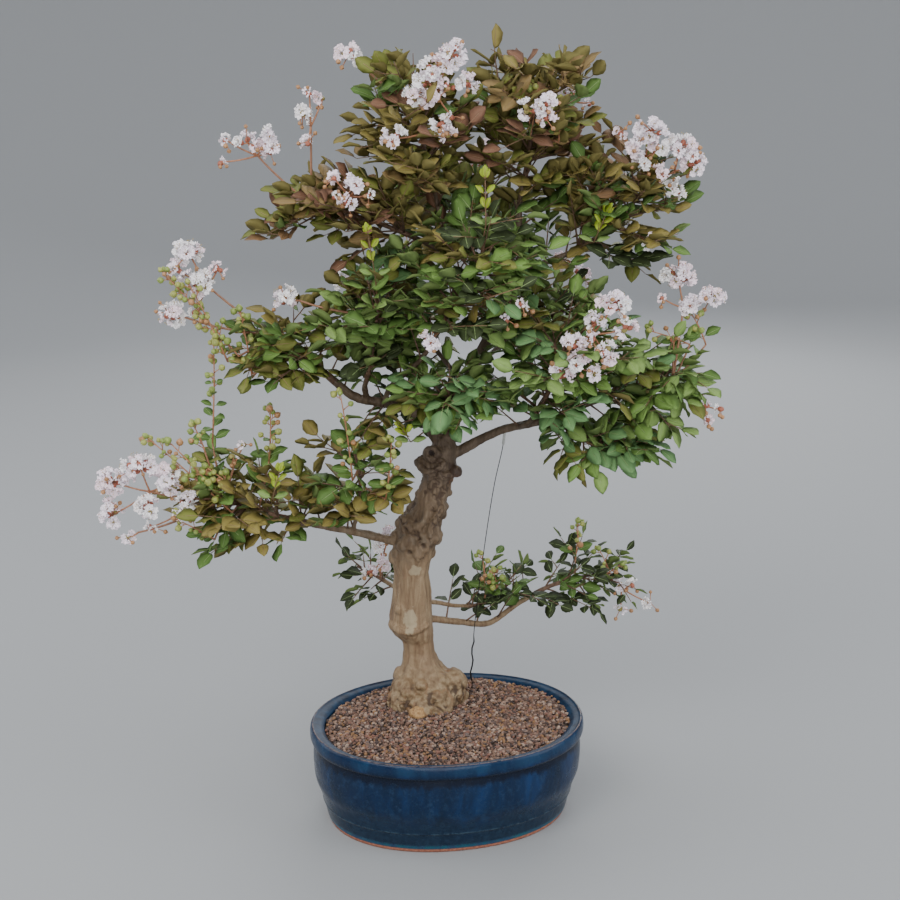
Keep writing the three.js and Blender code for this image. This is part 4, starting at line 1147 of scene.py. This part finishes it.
class Leaves:
    """Leaves gathered for one joined mesh: roots, directions, faces, sizes and colours."""

    def __init__(self):
        self.rows, self.colours = [], []

    def add(self, root, way, face, length, colour, roll):
        bend = LEAF["curl"] * (0.3 + 1.4 * roll())
        fold = LEAF["fold"] * (0.5 + roll())
        width = LEAF["width"] * (0.88 + 0.24 * roll())
        twist = 0.5 * (roll() - 0.5)
        self.rows.append((*root, *way, *face, length, width, fold, bend, twist))
        self.colours.append(colour)


# A leaf's outline: share of its length, and share of its half width.
LEAF_STATIONS = [(0, 0.0), (0.12, 0.48), (0.38, 0.97), (0.65, 0.93), (0.86, 0.52), (1, 0.0)]
# The rib on a leaf's middle: share of its length and radius, and its section as shares of that radius.
RIB = {
    "stations": [(-LEAF["stalk"] / LEAF["length"], 0.55), (0.05, 0.42), (0.45, 0.3), (0.88, 0.12)],
    "section": [(-1, 0.1), (1, 0.1), (0, -1.2)], "lift": 0.12,
}


def leaf_faces():
    """Triangles of one leaf blade: midrib 0 to 5, left 6 to 9, right 10 to 13, underside keel 14 to 17."""
    faces = []
    for edge, flip in ((6, False), (10, True)):
        for middle, turn in ((list(range(6)), flip), ([0, 14, 15, 16, 17, 5], not flip)):
            strip = [(middle[0], middle[1], edge)]
            for i in range(3):
                near, far = edge + i, edge + i + 1
                strip += [(middle[i + 1], middle[i + 2], far), (middle[i + 1], far, near)]
            strip.append((middle[4], middle[5], edge + 3))
            faces += [face[::-1] if turn else face for face in strip]
    return np.array(faces)


def repeated(faces, points):
    """The same faces over every row of points."""
    rows, per = points.shape[:2]
    return (np.array(faces)[None] + (np.arange(rows) * per)[:, None, None]).reshape(-1, 3)


def leaf_space(leaves):
    """The leaves' lengths, widths and folds, and a function that gives one point of every leaf."""
    rows = np.array(leaves.rows)
    root, way, face = rows[:, 0:3], rows[:, 3:6], rows[:, 6:9]
    length, width, fold, curl, twist = rows[:, 9:14].T
    way = way / norm(way, axis=1)[:, None]
    side = np.cross(way, face)
    side /= norm(side, axis=1)[:, None]
    face = np.cross(side, way)
    root = root + way * LEAF["stalk"]

    def at(share, across=0, lift=0):
        """Takes shares of the leaf's length along and across it, and a height in millimetres."""
        along = np.broadcast_to(share, length.shape)
        rise = lift - curl * along**2 * length + twist * along * across * length
        flat = root + way * (along * length)[:, None] + side * (across * length)[:, None]
        return flat + face * rise[:, None]

    return length, width, fold, at


def blade_points(leaves):
    """The points of every blade: its middle line, its left and right edge, and its keel below."""
    length, width, fold, at = leaf_space(leaves)
    inner = LEAF_STATIONS[1:-1]
    points = [at(share) for share, _ in LEAF_STATIONS]
    for hand in (-1, 1):
        for number, (share, half) in enumerate(inner):
            wave = LEAF["wave"] * length * np.sin(number * 2.4 + hand + length * 3)
            points.append(at(share, hand * half * width / 2, fold * half * width * length + wave))
    points += [at(share, 0, -LEAF["thickness"]) for share, _ in inner]
    return np.stack(points, axis=1)


def rib_points(leaves):
    """The points of every leaf's rib, section by section."""
    length, _, _, at = leaf_space(leaves)
    return np.stack([at(share, across * radius / length, lift * radius + RIB["lift"])
                     for share, radius in RIB["stations"] for across, lift in RIB["section"]], axis=1)


def sharpen_middles(blades, count):
    """Marks the edges along the middle line of each of the blades as sharp."""
    middle = np.zeros(len(blades.vertices), bool)
    middle.reshape(count, -1)[:, :len(LEAF_STATIONS)] = True
    ends = values_of(blades.edges, "vertices", np.int32, 2)
    blades.edges.foreach_set("use_edge_sharp", middle[ends].all(axis=1))


def leaf_meshes(leaves, name):
    """Blades and ribs of all the leaves, as two joined meshes."""
    names = list(LEAF_COLOURS)
    top = np.array([names.index(colour) for colour in leaves.colours])
    reddish = (top >= names.index("moss")).astype(int)
    faces = leaf_faces()
    upper = np.tile(np.repeat([True, False, True, False], len(faces) // 4), (len(top), 1))
    slots = np.where(upper, top[:, None], (len(names) + reddish)[:, None]).ravel()
    pile, ribs = Pile(), Pile()
    points = blade_points(leaves)
    pile.add(points.reshape(-1, 3), repeated(faces, points), slots)
    blades = mesh_from(name, pile)
    sharpen_middles(blades, len(top))
    points = rib_points(leaves)
    faces = ring_faces(len(RIB["stations"]), 3) + [(0, 2, 1), (9, 10, 11)]
    ribs.add(points.reshape(-1, 3), repeated(faces, points), np.repeat(reddish, len(faces)))
    return blades, mesh_from(name + "_ribs", ribs)


def crown_of(name):
    """Which of the two joined pieces of leaves a mass belongs to, by its tone."""
    return "upper" if MASSES[name][4] in ("top", "high") else "lower"


class Mass:
    """One mass's space, stem and dice."""

    def __init__(self, name, seed):
        limb, middle, reach, twigs, tone = MASSES[name]
        self.name, self.twigs, self.tone = name, twigs, tone
        self.crown = crown_of(name)
        self.middle, self.reach = vec(middle), vec(reach)
        self.roll = dice(seed)
        path = LIMB_PATHS[limb]
        tip, way = path[-1], unit(path[-1] - path[-3])
        far = self.middle + (self.middle - tip) * 0.45
        bend = tip + way * norm(far - tip) * 0.45
        self.stem = bezier(tip - way * 3, bend, far, 10)
        self.stem_radius = LIMBS[limb][1][1]

    def inside(self, point, grown=1.0):
        return float(norm((point - self.middle) / self.reach)) < grown

    def start_for(self, target, back=0.25):
        """Where a twig that aims at a target leaves the stem."""
        away = norm(self.stem - target, axis=1)
        nearest = int(np.argmin(away)) / (len(self.stem) - 1)
        return place_on(self.stem, min(max(nearest - back, 0.1), 0.92))[0]

    def colour(self):
        tones = LEAF_TONES[self.tone]
        return tones[int(self.roll() * len(tones)) % len(tones)]


def near_wood(point, room):
    """Whether a place lies in the wood, or nearer to it than this room."""
    _, index, away = WOOD_TREE.find(Vector(point))
    return away < WOOD[index][1] + room


# The middle of every cluster of blossom and how far its flowers reach.
BLOSSOM = np.array([row[:4] for rows in CLUSTERS.values() for row in rows], float)


def near_blossom(point):
    """Whether a place lies among the flowers of a cluster, or close in front of or behind them."""
    away = (point - BLOSSOM[:, :3]) * [1, 0.45, 1]
    return bool((norm(away, axis=1) < BLOSSOM[:, 3] + 4).any())


def leaf_at(mass, leaves, root, way, side, hand, length, colour):
    """One leaf on a twig, to the left, the right or straight on."""
    roll = mass.roll
    lean = way * (LEAF["forward"] * (0.7 + 0.6 * roll()) if hand else 1.0)
    rise = LEAF_RISE[mass.tone] + LEAF["sway"] * (roll() - 0.5)
    lean = unit(lean + side * hand * LEAF["spread"] + UP * rise)
    tip = root + lean * length
    roomy = (tip > LEAF_ROOM[0]).all() and (tip < LEAF_ROOM[1]).all()
    middle = root + lean * length * 0.5
    if not roomy or not mass.inside(tip, LEAF_OVERHANG) or near_wood(middle, 3):
        return
    if near_blossom(middle) or near_blossom(tip):
        return
    out = unit((root - mass.middle) * [1, 1, 0])
    face = UP * LEAF["upward"] + out * LEAF["facing"] * 2 * roll()
    face = face + side * 1.8 * (roll() - 0.5) + way * 1.4 * (roll() - 0.5)
    leaves.add(root, lean, face, length, colour, roll)


def leafy(mass, leaves, path, start, colour, size=1.0):
    """Pairs of leaves along a twig, and one at its tip."""
    roll = mass.roll
    size = size * LEAF_SIZE.get(mass.tone, 1.0)
    length = length_of(path)
    nodes = max(1, int(length * (1 - start) / LEAF["node"]))
    tilt = 0.9 * (roll() - 0.5)
    for node in range(nodes):
        share = start + (1 - start) * (node + 0.5 * roll()) / nodes
        place, way = place_on(path, share)
        side = sideways(way)
        side = unit(side + UP * tilt)
        grow = size * LEAF["length"] * (1.05 - 0.3 * share) * (0.82 + 0.3 * roll())
        for hand in (-1, 1):
            if roll() < LEAF["chance"]:
                leaf_at(mass, leaves, place, way, side, hand, grow, colour)
    place, way = place_on(path, 1)
    leaf_at(mass, leaves, place, way, sideways(way), 0, size * LEAF["length"] * (0.62 + 0.3 * roll()), colour)


def grow_twig(mass, leaves, twigs, start, target):
    """A leafy twig from its start to its target, with shorter ones on both sides."""
    roll = mass.roll
    reach = norm(target - start)
    arch = UP * reach * TWIG["arch"] * (roll() - 0.35)
    path = bent_tube(twigs, start, target, arch, (TWIG["main"], TWIG["tip"]), steps=5)
    colour = mass.colour()
    leafy(mass, leaves, path, TWIG["bare"], colour)
    count = max(1, int(reach / TWIG["side_every"]))
    for i in range(count):
        place, way = place_on(path, 0.3 + 0.6 * (i + roll()) / count)
        hand = 1 if (i + int(roll() * 2)) % 2 else -1
        lean = unit(way * 0.6 + sideways(way) * hand * 0.8 + UP * (roll() - 0.45))
        end = place + lean * between(TWIG["side_length"], roll())
        if not mass.inside(end) or near_wood(end, 4):
            continue
        side_path = bent_tube(twigs, place, end, UP * 2 * roll(), (TWIG["side"], TWIG["tip"]), 4, 1, steps=3)
        leafy(mass, leaves, side_path, TWIG["side_bare"], colour if roll() < 0.75 else mass.colour(), 0.95)


def grow_mass(mass, leaves, twigs):
    """Twigs from the mass's stem to places spread all over and inside its space."""
    roll = mass.roll
    add_tube(twigs, mass.stem, np.linspace(mass.stem_radius, TWIG["stem_tip"], len(mass.stem)), 7, 0)
    count = round(mass.twigs * TWIG["each"])
    room = mass.reach - LEAF["length"] * 0.5
    targets = [mass.middle + way * room * (0.5 + 0.66 * roll()) for way in sphere_places(count, roll)]
    for target in targets + [vec(place) for place in FILLING_TWIGS.get(mass.name, [])]:
        start = mass.start_for(target)
        if near_wood(target, 6):
            target = lerp(start, target, 0.6)
        grow_twig(mass, leaves, twigs, start, target)


# Blossom and buds

def petal_grid():
    """Points of a unit disc in polar order, and the triangles of a thin closed petal made of it."""
    count = FLOWER["points"]
    angles = np.arange(count) * 2 * math.pi / count
    disc = [(0.0, 0.0)]
    for radius in (0.55, 1.0):
        disc += [(radius * math.cos(a), radius * math.sin(a)) for a in angles]
    faces = []
    for i in range(count):
        j = (i + 1) % count
        faces += [(0, 1 + i, 1 + j), (1 + i, 1 + count + i, 1 + count + j), (1 + i, 1 + count + j, 1 + j)]

    def below(point):
        """The lower side shares the rim and has its own middle and inner ring."""
        return point if point > count else point + 1 + 2 * count

    faces += [tuple(below(point) for point in face[::-1]) for face in faces]
    return np.array(disc), np.array(faces)


PETAL_DISC, PETAL_FACES = petal_grid()


def around(axis, angle):
    """The direction across an axis at an angle round it."""
    first = unit(np.cross(axis, vec([0.2, 0.55, 0.81]) if abs(axis[0]) > 0.9 else vec([0.9, 0.1, 0.3])))
    return first * math.cos(angle) + np.cross(axis, first) * math.sin(angle)


def add_petals(pile, centre, axis, radius, slot, roll):
    """Six crinkled petals, each on a narrow claw."""
    blade = (radius - FLOWER["claw"]) / 2
    turn = roll() * 2 * math.pi
    count = FLOWER["points"]
    for petal in range(FLOWER["petals"]):
        out = around(axis, turn + (petal + 0.35 * (roll() - 0.5)) * 2 * math.pi / FLOWER["petals"])
        tilt = 0.1 + 1.1 * roll()
        way, level = unit(out + axis * tilt), unit(axis - out * tilt)
        edge = np.cross(level, way)
        twist = 1.3 * (roll() - 0.5)
        normal = level * math.cos(twist) + edge * math.sin(twist)
        side = edge * math.cos(twist) - level * math.sin(twist)
        inner = [0.45 * (roll() - 0.5) for _ in range(count)]
        outer = [FLOWER["frill"][i % 2] + 0.6 * (roll() - 0.5) for i in range(count)]
        swell = [0.9 + 0.2 * roll() for _ in range(count)] + [0.85 + 0.3 * roll() for _ in range(count)]
        disc = PETAL_DISC * np.array([1.0, *swell])[:, None]
        lift = np.array([0.0, *inner, *outer]) * 0.75 + 0.15 * (disc**2).sum(axis=1)
        top = (centre + way * (FLOWER["claw"] + blade) + np.outer(disc[:, 0], way) * blade
               + np.outer(disc[:, 1], side) * blade * 1.1 + np.outer(lift * blade, normal))
        low = top[:1 + count] - normal * FLOWER["petal_thickness"]
        pile.add(np.concatenate([top, low]), PETAL_FACES, slot)


def add_calyx(pile, base, axis, radius, slot):
    """A small ribbed cup under a flower."""
    path = np.array([base + axis * radius * along for along, _ in CALYX_OUTLINE])
    add_tube(pile, path, [radius * across for _, across in CALYX_OUTLINE], 6, slot)


def add_stamens(pile, centre, axis, size, roll):
    """A few thin filaments, each with an anther at its end."""
    corners = vec([[1, 0, 0], [0, 1, 0], [-1, 0, 0], [0, -1, 0], [0, 0, 1], [0, 0, -1]])
    faces = [(0, 1, 4), (1, 2, 4), (2, 3, 4), (3, 0, 4), (1, 0, 5), (2, 1, 5), (3, 2, 5), (0, 3, 5)]
    for i in range(FLOWER["stamens"]):
        out = around(axis, i * GOLDEN_ANGLE) * (0.25 + 0.35 * roll())
        end = centre + unit(axis + out) * size * (0.75 + 0.3 * roll())
        add_tube(pile, np.array([centre, end]), FLOWER["filament"], 3, 2)
        pile.add(corners * FLOWER["anther"] + end, faces, 3)


def add_flower(blossom, stems, root, middle, half_open, roll):
    """A flower whose middle is given, on a stalk from its root."""
    size = FLOWER["half_open"] if half_open else FLOWER["radius"] * (0.85 + 0.3 * roll())
    axis = unit(unit(middle - root) + UP * 0.25 + vec([roll() - 0.5, roll() - 0.6, roll() - 0.5]) * 0.7)
    base = middle - axis * FLOWER["depth"]
    radius = FLOWER["calyx"] * (0.85 + 0.2 * roll())
    bent_tube(stems, root, base, UP * -1.5, FLOWER["stalk"], 4, steps=3)
    add_calyx(stems, base - axis * 1.5, axis, radius, 1 if roll() < 0.75 else 4)
    add_petals(blossom, base + axis * radius * 1.4, axis, size, int(roll() * 3), roll)
    if not half_open:
        add_stamens(stems, base + axis * radius * 1.5, axis, FLOWER["stamen"], roll)


def add_cluster(mass, blossom, stems, hub, row):
    """A cluster of flowers that face away from its middle."""
    x, y, z, half_width, half_height, count = row
    roll = mass.roll
    middle = vec([x, y, z])
    bent_tube(stems, hub, middle, UP * -3, FLOWER["stem"])
    number = round(count * FLOWER["crowd"]) if count > 2 else abs(count)
    room = np.array([half_width, (half_width + half_height) / 2, half_height]) * (0.8 if number > 2 else 0.5)
    for way in sphere_places(number, roll):
        spread = way + vec([0, -0.35, 0.2])
        add_flower(blossom, stems, middle, middle + spread * room, count < 0, roll)
    for _ in range(FLOWER["buds"]):
        way = unit(vec([roll() - 0.5, roll() - 0.8, roll() - 0.6]))
        add_bud(stems, middle, middle + way * (half_width + 5), roll, BUD["under_flowers"])


def add_bud(stems, root, end, roll, size=1.0):
    """A round ribbed bud on its stalk."""
    axis = unit(end - root)
    radius = size * BUD["radius"] * (0.72 + 0.36 * roll())
    add_tube(stems, np.array([root, lerp(root, end, 0.5) + UP * 0.4, end]), [0.6, 0.5, 0.6], 4, 0)
    along, across = np.array(BUD_OUTLINE).T
    tint = 7 if size < 0.8 else 5 + int(roll() * 2.35)
    add_tube(stems, end + np.outer(along * radius, axis), across * radius, 8, tint)


def flower_heads(mass, blossom, stems, twigs):
    """Clusters that lie near one another share one hub, and one stalk from the mass's stem."""
    left = CLUSTERS.get(mass.name, [])
    while left:
        near = [norm(vec(row[:3]) - vec(left[0][:3])) < FLOWER["hub_reach"] for row in left]
        group = [row for row, is_near in zip(left, near) if is_near]
        left = [row for row, is_near in zip(left, near) if not is_near]
        centre = np.array([row[:3] for row in group], float).mean(axis=0)
        start = mass.start_for(centre, 0.1)
        hub = lerp(centre, start, min(0.35, 14 / max(norm(centre - start), 1)))
        sag = UP * -0.08 * norm(hub - start)
        bent_tube(twigs, start, hub, sag, (1.5, 1.1), slot=2, middle=0.55, steps=6)
        for row in group:
            add_cluster(mass, blossom, stems, hub, row)


def bud_shoots(mass, leaves, stems, twigs):
    """The mass's shoots that end in round buds."""
    roll = mass.roll
    for foot, tip, count, pairs in BUD_SHOOTS.get(mass.name, []):
        foot, tip = vec(foot), vec(tip)
        start = mass.start_for(foot, 0.05)
        sag = UP * -0.05 * norm(foot - start)
        lower = bent_tube(twigs, start, foot, sag, (1.3, 1.0), slot=2, middle=0.6)
        leafy(mass, leaves, lower, 0.35, mass.colour(), 0.8)
        upper = bent_tube(stems, foot, tip, vec([2, 0, 1]), (1.0, 0.6), steps=5)
        for pair in range(pairs):
            place, way = place_on(upper, 0.62 * (pair + 0.4) / pairs)
            side = unit(vec([math.cos(pair * 1.2), math.sin(pair * 1.2), 0.2]))
            small = LEAF["length"] * (0.62 - 0.4 * pair / pairs)
            for hand in (-1, 1):
                small_leaf(leaves, place, unit(side * hand + way * 0.35), small, "green", roll)
        first_bud = 0.4 if pairs > 2 else 0.08
        nodes = max(2, round(count * BUD["crowd"]))
        for i in range(nodes):
            share = lerp(first_bud, 0.97, (i + 0.3 * roll()) / (nodes - 1 + 0.3))
            place, way = place_on(upper, share)
            out = around(way, i * GOLDEN_ANGLE + roll())
            stalk = between(BUD["stalk"], roll()) * (1.15 - 0.5 * share)
            end = place + unit(way * 0.7 + out) * stalk
            add_bud(stems, place, end, roll)
            if roll() < BUD["twins"]:
                knee = lerp(place, end, 0.4)
                lean = unit(way + out * 0.2 + np.cross(way, out) * (roll() - 0.5) * 2.4)
                add_bud(stems, knee, knee + lean * stalk * 0.8, roll, BUD["twin_size"])
        on = unit(tip - foot)
        add_bud(stems, tip - on * 3, tip + on * 0.5, roll)


def young_tip(mass, leaves, twigs):
    """The mass's tip of young leaves, if it has one."""
    if mass.name not in YOUNG_TIPS:
        return
    foot, tip = (vec(place) for place in YOUNG_TIPS[mass.name])
    start = mass.start_for(foot)
    path = np.concatenate([bezier(start, lerp(start, foot, 0.5) + UP * 3, foot, 4), [tip]])
    add_tube(twigs, path, np.linspace(1.2, 0.5, len(path)), 5, 1)
    for pair in range(YOUNG_LEAF["pairs"]):
        share = pair / (YOUNG_LEAF["pairs"] - 1)
        side = vec([math.cos(pair * 1.4), -0.5 * math.sin(pair * 1.4), 0])
        size, colour = YOUNG_LEAF["length"] * (1.15 - 0.4 * share), "lime" if share > 0.2 else "light"
        for hand in (-1, 1):
            way = unit(side * hand + unit(tip - foot) * (0.5 + share))
            small_leaf(leaves, lerp(foot, tip, share), way, size, colour, mass.roll)
    small_leaf(leaves, tip, unit(tip - foot + vec([0, -6, 0])), YOUNG_LEAF["length"], "lime", mass.roll)


def small_leaf(leaves, root, way, length, colour, roll):
    """A small leaf on a shoot that stands clear of the foliage."""
    leaves.add(root, way, unit(UP + vec([0, -0.8, 0])), length, colour, roll)


def dress_limbs(leaves, twigs):
    """Short leafy twigs along the limbs, wherever a limb runs through a mass of foliage."""
    masses = [Mass(name, SEEDS["limb_twigs"] + number) for number, name in enumerate(MASSES)]
    for mass in masses:
        if mass.crown == "upper":
            mass.reach = mass.reach * LIMB_TWIG["upper_reach"]
    for path in LIMB_PATHS.values():
        count = int(length_of(path) / LIMB_TWIG["every"])
        for i in range(count):
            place, way = place_on(path, (i + 0.5) / count)
            roll = masses[i % len(masses)].roll
            out = unit(around(way, i * GOLDEN_ANGLE + roll()) + way * 0.4 + UP * 0.2)
            end = place + out * between(LIMB_TWIG["length"], roll())
            home = [mass for mass in masses if mass.inside(end, 0.95)]
            if home:
                twig = bent_tube(twigs, place, end, UP * 4 * roll(), (1.2, TWIG["tip"]))
                leafy(home[0], leaves[home[0].crown], twig, 0.35, home[0].colour())


def make_foliage():
    leaves = {"upper": Leaves(), "lower": Leaves()}
    twigs, blossom, stems = Pile(), Pile(), Pile()
    for number, name in enumerate(MASSES):
        mass = Mass(name, SEEDS["masses"] + number)
        crown = leaves[mass.crown]
        grow_mass(mass, crown, twigs)
        flower_heads(mass, blossom, stems, twigs)
        bud_shoots(mass, crown, stems, twigs)
        young_tip(mass, crown, twigs)
    dress_limbs(leaves, twigs)
    top_shoot(leaves["upper"], twigs)
    blade_materials = [plain(f"leaf_{name}", colour, 0.58, Specular_IOR_Level=0.22)
                       for name, colour in LEAF_COLOURS.items()]
    blade_materials += [plain(f"leaf_under_{name}", colour, 0.8, Specular_IOR_Level=0.15)
                        for name, colour in LEAF_UNDERSIDES.items()]
    finishes = {name: [mottled(*row) for row in rows] for name, rows in FINISHES.items()}
    for part, crown in leaves.items():
        blades, ribs = leaf_meshes(crown, f"leaves_{part}")
        masses = [name for name in MASSES if crown_of(name) == part]
        piece(f"leaves_{part}", blades, blade_materials, masses)
        piece(f"leaf_ribs_{part}", ribs, finishes["leaf_ribs"])
    for name, pile in (("twigs", twigs), ("petals", blossom), ("buds_and_calyces", stems)):
        piece(name, pile, finishes[name], smooth=name != "petals")


def top_shoot(leaves, twigs):
    """The upright shoot that ends in the topmost leaf."""
    mass = Mass("foliage_top", SEEDS["top_shoot"])
    mass.reach = mass.reach * 1.5
    start, tip = (vec(place) for place in TOP_SHOOT)
    path = bent_tube(twigs, start, tip, vec([-4, 0, 0]), (1.3, 0.6), steps=5)
    for share in (0.15, 0.45, 0.75):
        place, way = place_on(path, share)
        for hand in (-1, 1):
            leaf_at(mass, leaves, place, way, vec([1, 0, 0]), hand, LEAF["length"], "olive")
    leaves.add(tip, vec([0.08, 0, 1]), vec([0.9, -1, 0.2]), LEAF["length"] * 0.85, "olive", mass.roll)


# Guy wire

def make_wire():
    path = smooth_route(WIRE["route"])
    pile = Pile()
    low = int(len(path) * (1 - WIRE["low_share"]))
    radii = [WIRE["radius"] if i < low else WIRE["low_radius"] for i in range(len(path))]
    bent = path.copy()
    bent[low:, 0] += WIRE["sway"] * np.sin(np.arange(low, len(path)) * WIRE["sway_rate"])
    add_tube(pile, bent, radii, 8, 0)
    sleeve = np.array([place_on(path, share)[0] for share in np.linspace(0, WIRE["sleeve_share"], 4)])
    add_tube(pile, sleeve, [WIRE["sleeve_radius"]] * 4, 12, 1)
    wire = mottled("wire_dark", (0.022, 0.020, 0.020), 0.4, 3.0, 0.3, Metallic=0.7)
    tube = mottled("wire_sleeve", (0.480, 0.500, 0.480), 0.3, 4.0, 0.1)
    piece("guy_wire_drawn", pile, [wire, tube], ["guy_wire"])


# Floor, light and camera

def make_stage():
    """A level pale floor whose far edge curves up, all round, into a plain backdrop."""
    level, bend, top, sides = (STAGE[key] for key in ("level", "bend", "top", "sides"))
    turns = np.linspace(0, math.pi / 2, 17)
    profile = [(level + bend * math.sin(t), bend - bend * math.cos(t)) for t in turns] + [(level + bend, top)]
    pile = Pile()
    inward = [face[::-1] for face in ring_faces(len(profile), sides, 1)]
    pile.add(np.concatenate([*ring_points(profile, sides), [[0, 0, 0]]]), inward)
    floor = placed("floor", mesh_from("floor", pile))
    floor.data.materials.append(plain("floor_pale", (0.33, 0.34, 0.35), 0.85))
    floor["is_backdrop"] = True
    world = bpy.data.worlds.new("studio")
    world.use_nodes = True
    background = world.node_tree.nodes["Background"]
    background.inputs["Color"].default_value = (0.86, 0.88, 0.92, 1)
    background.inputs["Strength"].default_value = LIGHTS["sky"]
    bpy.context.scene.world = world


def add_light(name, place, size, power, colour):
    """A round soft light that points at the plant, and isn't itself in view."""
    data = bpy.data.lights.new(name, "AREA")
    data.shape = "DISK"
    data.size = size
    data.energy = power
    data.color = colour
    light = placed(name, data)
    light.location = place
    light.rotation_euler = (Vector(LIGHTS["target"]) - Vector(place)).to_track_quat("-Z", "Y").to_euler()
    light.visible_camera = False


def make_camera():
    data = bpy.data.cameras.new("camera")
    data.lens = CAMERA["lens"]
    data.sensor_width = CAMERA["sensor"]
    camera = placed("camera", data)
    camera.location = [value * MM for value in CAMERA["place"]]
    camera.rotation_euler = (math.radians(90 - CAMERA["pitch"]), 0, 0)
    bpy.context.scene.camera = camera


make_camera()
make_stage()
for row in LIGHTS["rows"]:
    add_light(*row)
make_pot()
make_grit()
make_grains()
make_bark()
make_ochre_root()
make_foliage()
make_wire()

boxes = {"cad": cad_box, "visual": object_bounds()}
{key: [list(corner) for corner in box] for key, box in boxes.items()}
